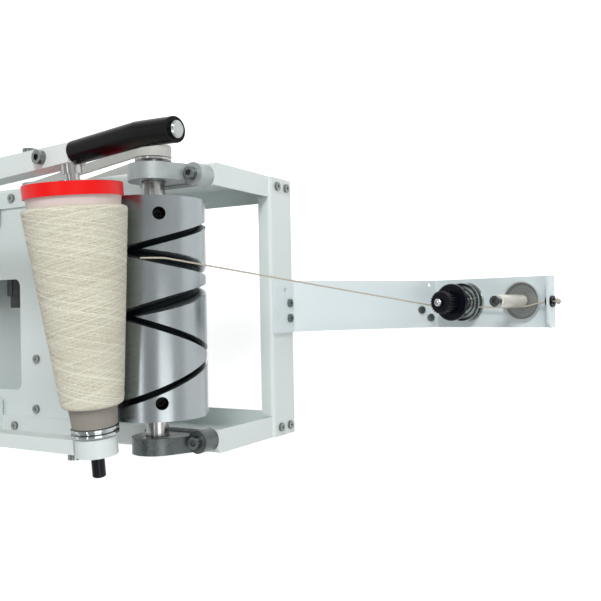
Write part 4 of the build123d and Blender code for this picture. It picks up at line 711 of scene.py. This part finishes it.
# ---- dome nut on the tensioner's stud -----------------------------------------------------------
def dome_nut():
    """Dome nut: a hexagon whose corners fade into a half sphere; flat underneath. Radius over angle a is
    flat / cos(a within a sixth turn), blended to the dome's radius by height."""
    flat, foot, waist, crown = 3.5, 51.7, 53.6, 56.4
    rounding = 1.11       # the corners are cut off at this many times the flat
    cols = 48
    ring = np.linspace(0.0, 2 * math.pi, cols, endpoint=False)
    within = (ring + math.pi / 6) % (math.pi / 3) - math.pi / 6
    hexagon = np.minimum(flat / np.cos(within), flat * rounding)
    rise = np.linspace(0.03, math.pi / 2 - 0.04, 9)
    sides = [foot, foot, foot + 0.25, waist - 0.3, waist]
    heights = np.concatenate([sides, waist + (crown - waist) * np.sin(rise)])
    reach = np.concatenate([[0.05, 0.94, 1.0, 1.0, 0.93], 0.86 * np.cos(rise)])
    square = np.concatenate([[1.0, 1.0, 1.0, 1.0, 1.0], np.zeros(9)])
    radius = reach[:, None] * (square[:, None] * hexagon[None, :] + (1 - square[:, None]) * flat)
    base = over_plate(POST_X, TENSION_T, 0.0)
    out = ACROSS[None, :] * np.cos(ring)[:, None] + PLATE_DIR[None, :] * np.sin(ring)[:, None]
    points = base + PLATE_UP * heights[:, None, None] + radius[..., None] * out[None]
    return grid_piece("stud_nut", points, chrome)


stud_nut = dome_nut()

# ---- light, floor and background ---------------------------------------------------------------
world = bpy.data.worlds.new("studio")
scene.world = world
world.use_nodes = True
sky = world.node_tree
background = sky.nodes["Background"]
paths = sky.nodes.new("ShaderNodeLightPath")
seen = math_node(sky, "MAXIMUM", paths.outputs["Is Camera Ray"], paths.outputs["Is Glossy Ray"])
seen = math_node(sky, "MAXIMUM", seen, paths.outputs["Is Transmission Ray"])
sky_way = sky.nodes.new("ShaderNodeTexCoord").outputs["Generated"]
overhead = ranged(sky, split_spot(sky, sky_way)["Z"], 0.15, 0.95, 1.0, 0.55)
AMBIENT = 0.30
seen_level = math_node(sky, "MULTIPLY", seen, overhead)
plain = math_node(sky, "MULTIPLY", math_node(sky, "SUBTRACT", 1.0, seen), AMBIENT)
sky_level = math_node(sky, "ADD", seen_level, plain)
sky_level = math_node(sky, "MAXIMUM", sky_level, paths.outputs["Is Camera Ray"])
sky.links.new(sky_level, background.inputs["Strength"])
background.inputs["Color"].default_value = (1.0, 1.0, 1.0, 1.0)


def lamp(name, at, aim, size, power):
    """A rectangular lamp of size (width, height) at one point, aimed at another, in metres and watts."""
    light = bpy.data.lights.new(name, "AREA")
    light.shape = "RECTANGLE"
    light.size, light.size_y = size
    light.energy = power
    holder = bpy.data.objects.new(name, light)
    scene.collection.objects.link(holder)
    holder.location = at
    holder.rotation_euler = (Vector(aim) - Vector(at)).to_track_quat("-Z", "Y").to_euler()


MACHINE_MID = (0.0, -0.1, 0.1)
lamp("key_lamp", (0.95, -0.75, 1.25), MACHINE_MID, (0.5, 0.5), 16.0)
lamp("fill_lamp", (-0.45, -1.35, 0.95), MACHINE_MID, (0.8, 0.8), 5.0)
lamp("back_lamp", (0.1, 1.1, 1.2), MACHINE_MID, (1.6, 0.5), 2.2)
lamp("overhead_strip", (0.0, -0.24, 1.6), (0.0, -0.12, 0.15), (1.6, 0.14), 2.6)

FLOOR_HALF = 4.0
FLOOR_Z = -0.155
FLOOR_GLOW = 0.62
floor_mesh = bpy.data.meshes.new("floor")
corners = [(-1, -1), (1, -1), (1, 1), (-1, 1)]
floor_mesh.from_pydata([(x * FLOOR_HALF, y * FLOOR_HALF, FLOOR_Z) for x, y in corners], [], [(0, 1, 2, 3)])
floor = bpy.data.objects.new("floor", floor_mesh)
scene.collection.objects.link(floor)
floor_mat, floor_tree, floor_shader = blank_finish("pale_floor")
floor_shader.inputs["Base Color"].default_value = (0.92, 0.92, 0.92, 1.0)
floor_shader.inputs["Roughness"].default_value = 0.9
floor_shader.inputs["Emission Color"].default_value = (1.0, 1.0, 1.0, 1.0)
floor_paths = floor_tree.nodes.new("ShaderNodeLightPath").outputs
floor_seen = math_node(floor_tree, "MAXIMUM", floor_paths["Is Camera Ray"], floor_paths["Is Glossy Ray"])
floor_glow = math_node(floor_tree, "MULTIPLY", floor_seen, FLOOR_GLOW)
floor_tree.links.new(floor_glow, floor_shader.inputs["Emission Strength"])
floor_mesh.materials.append(floor_mat)

scene.view_settings.view_transform = "Standard"
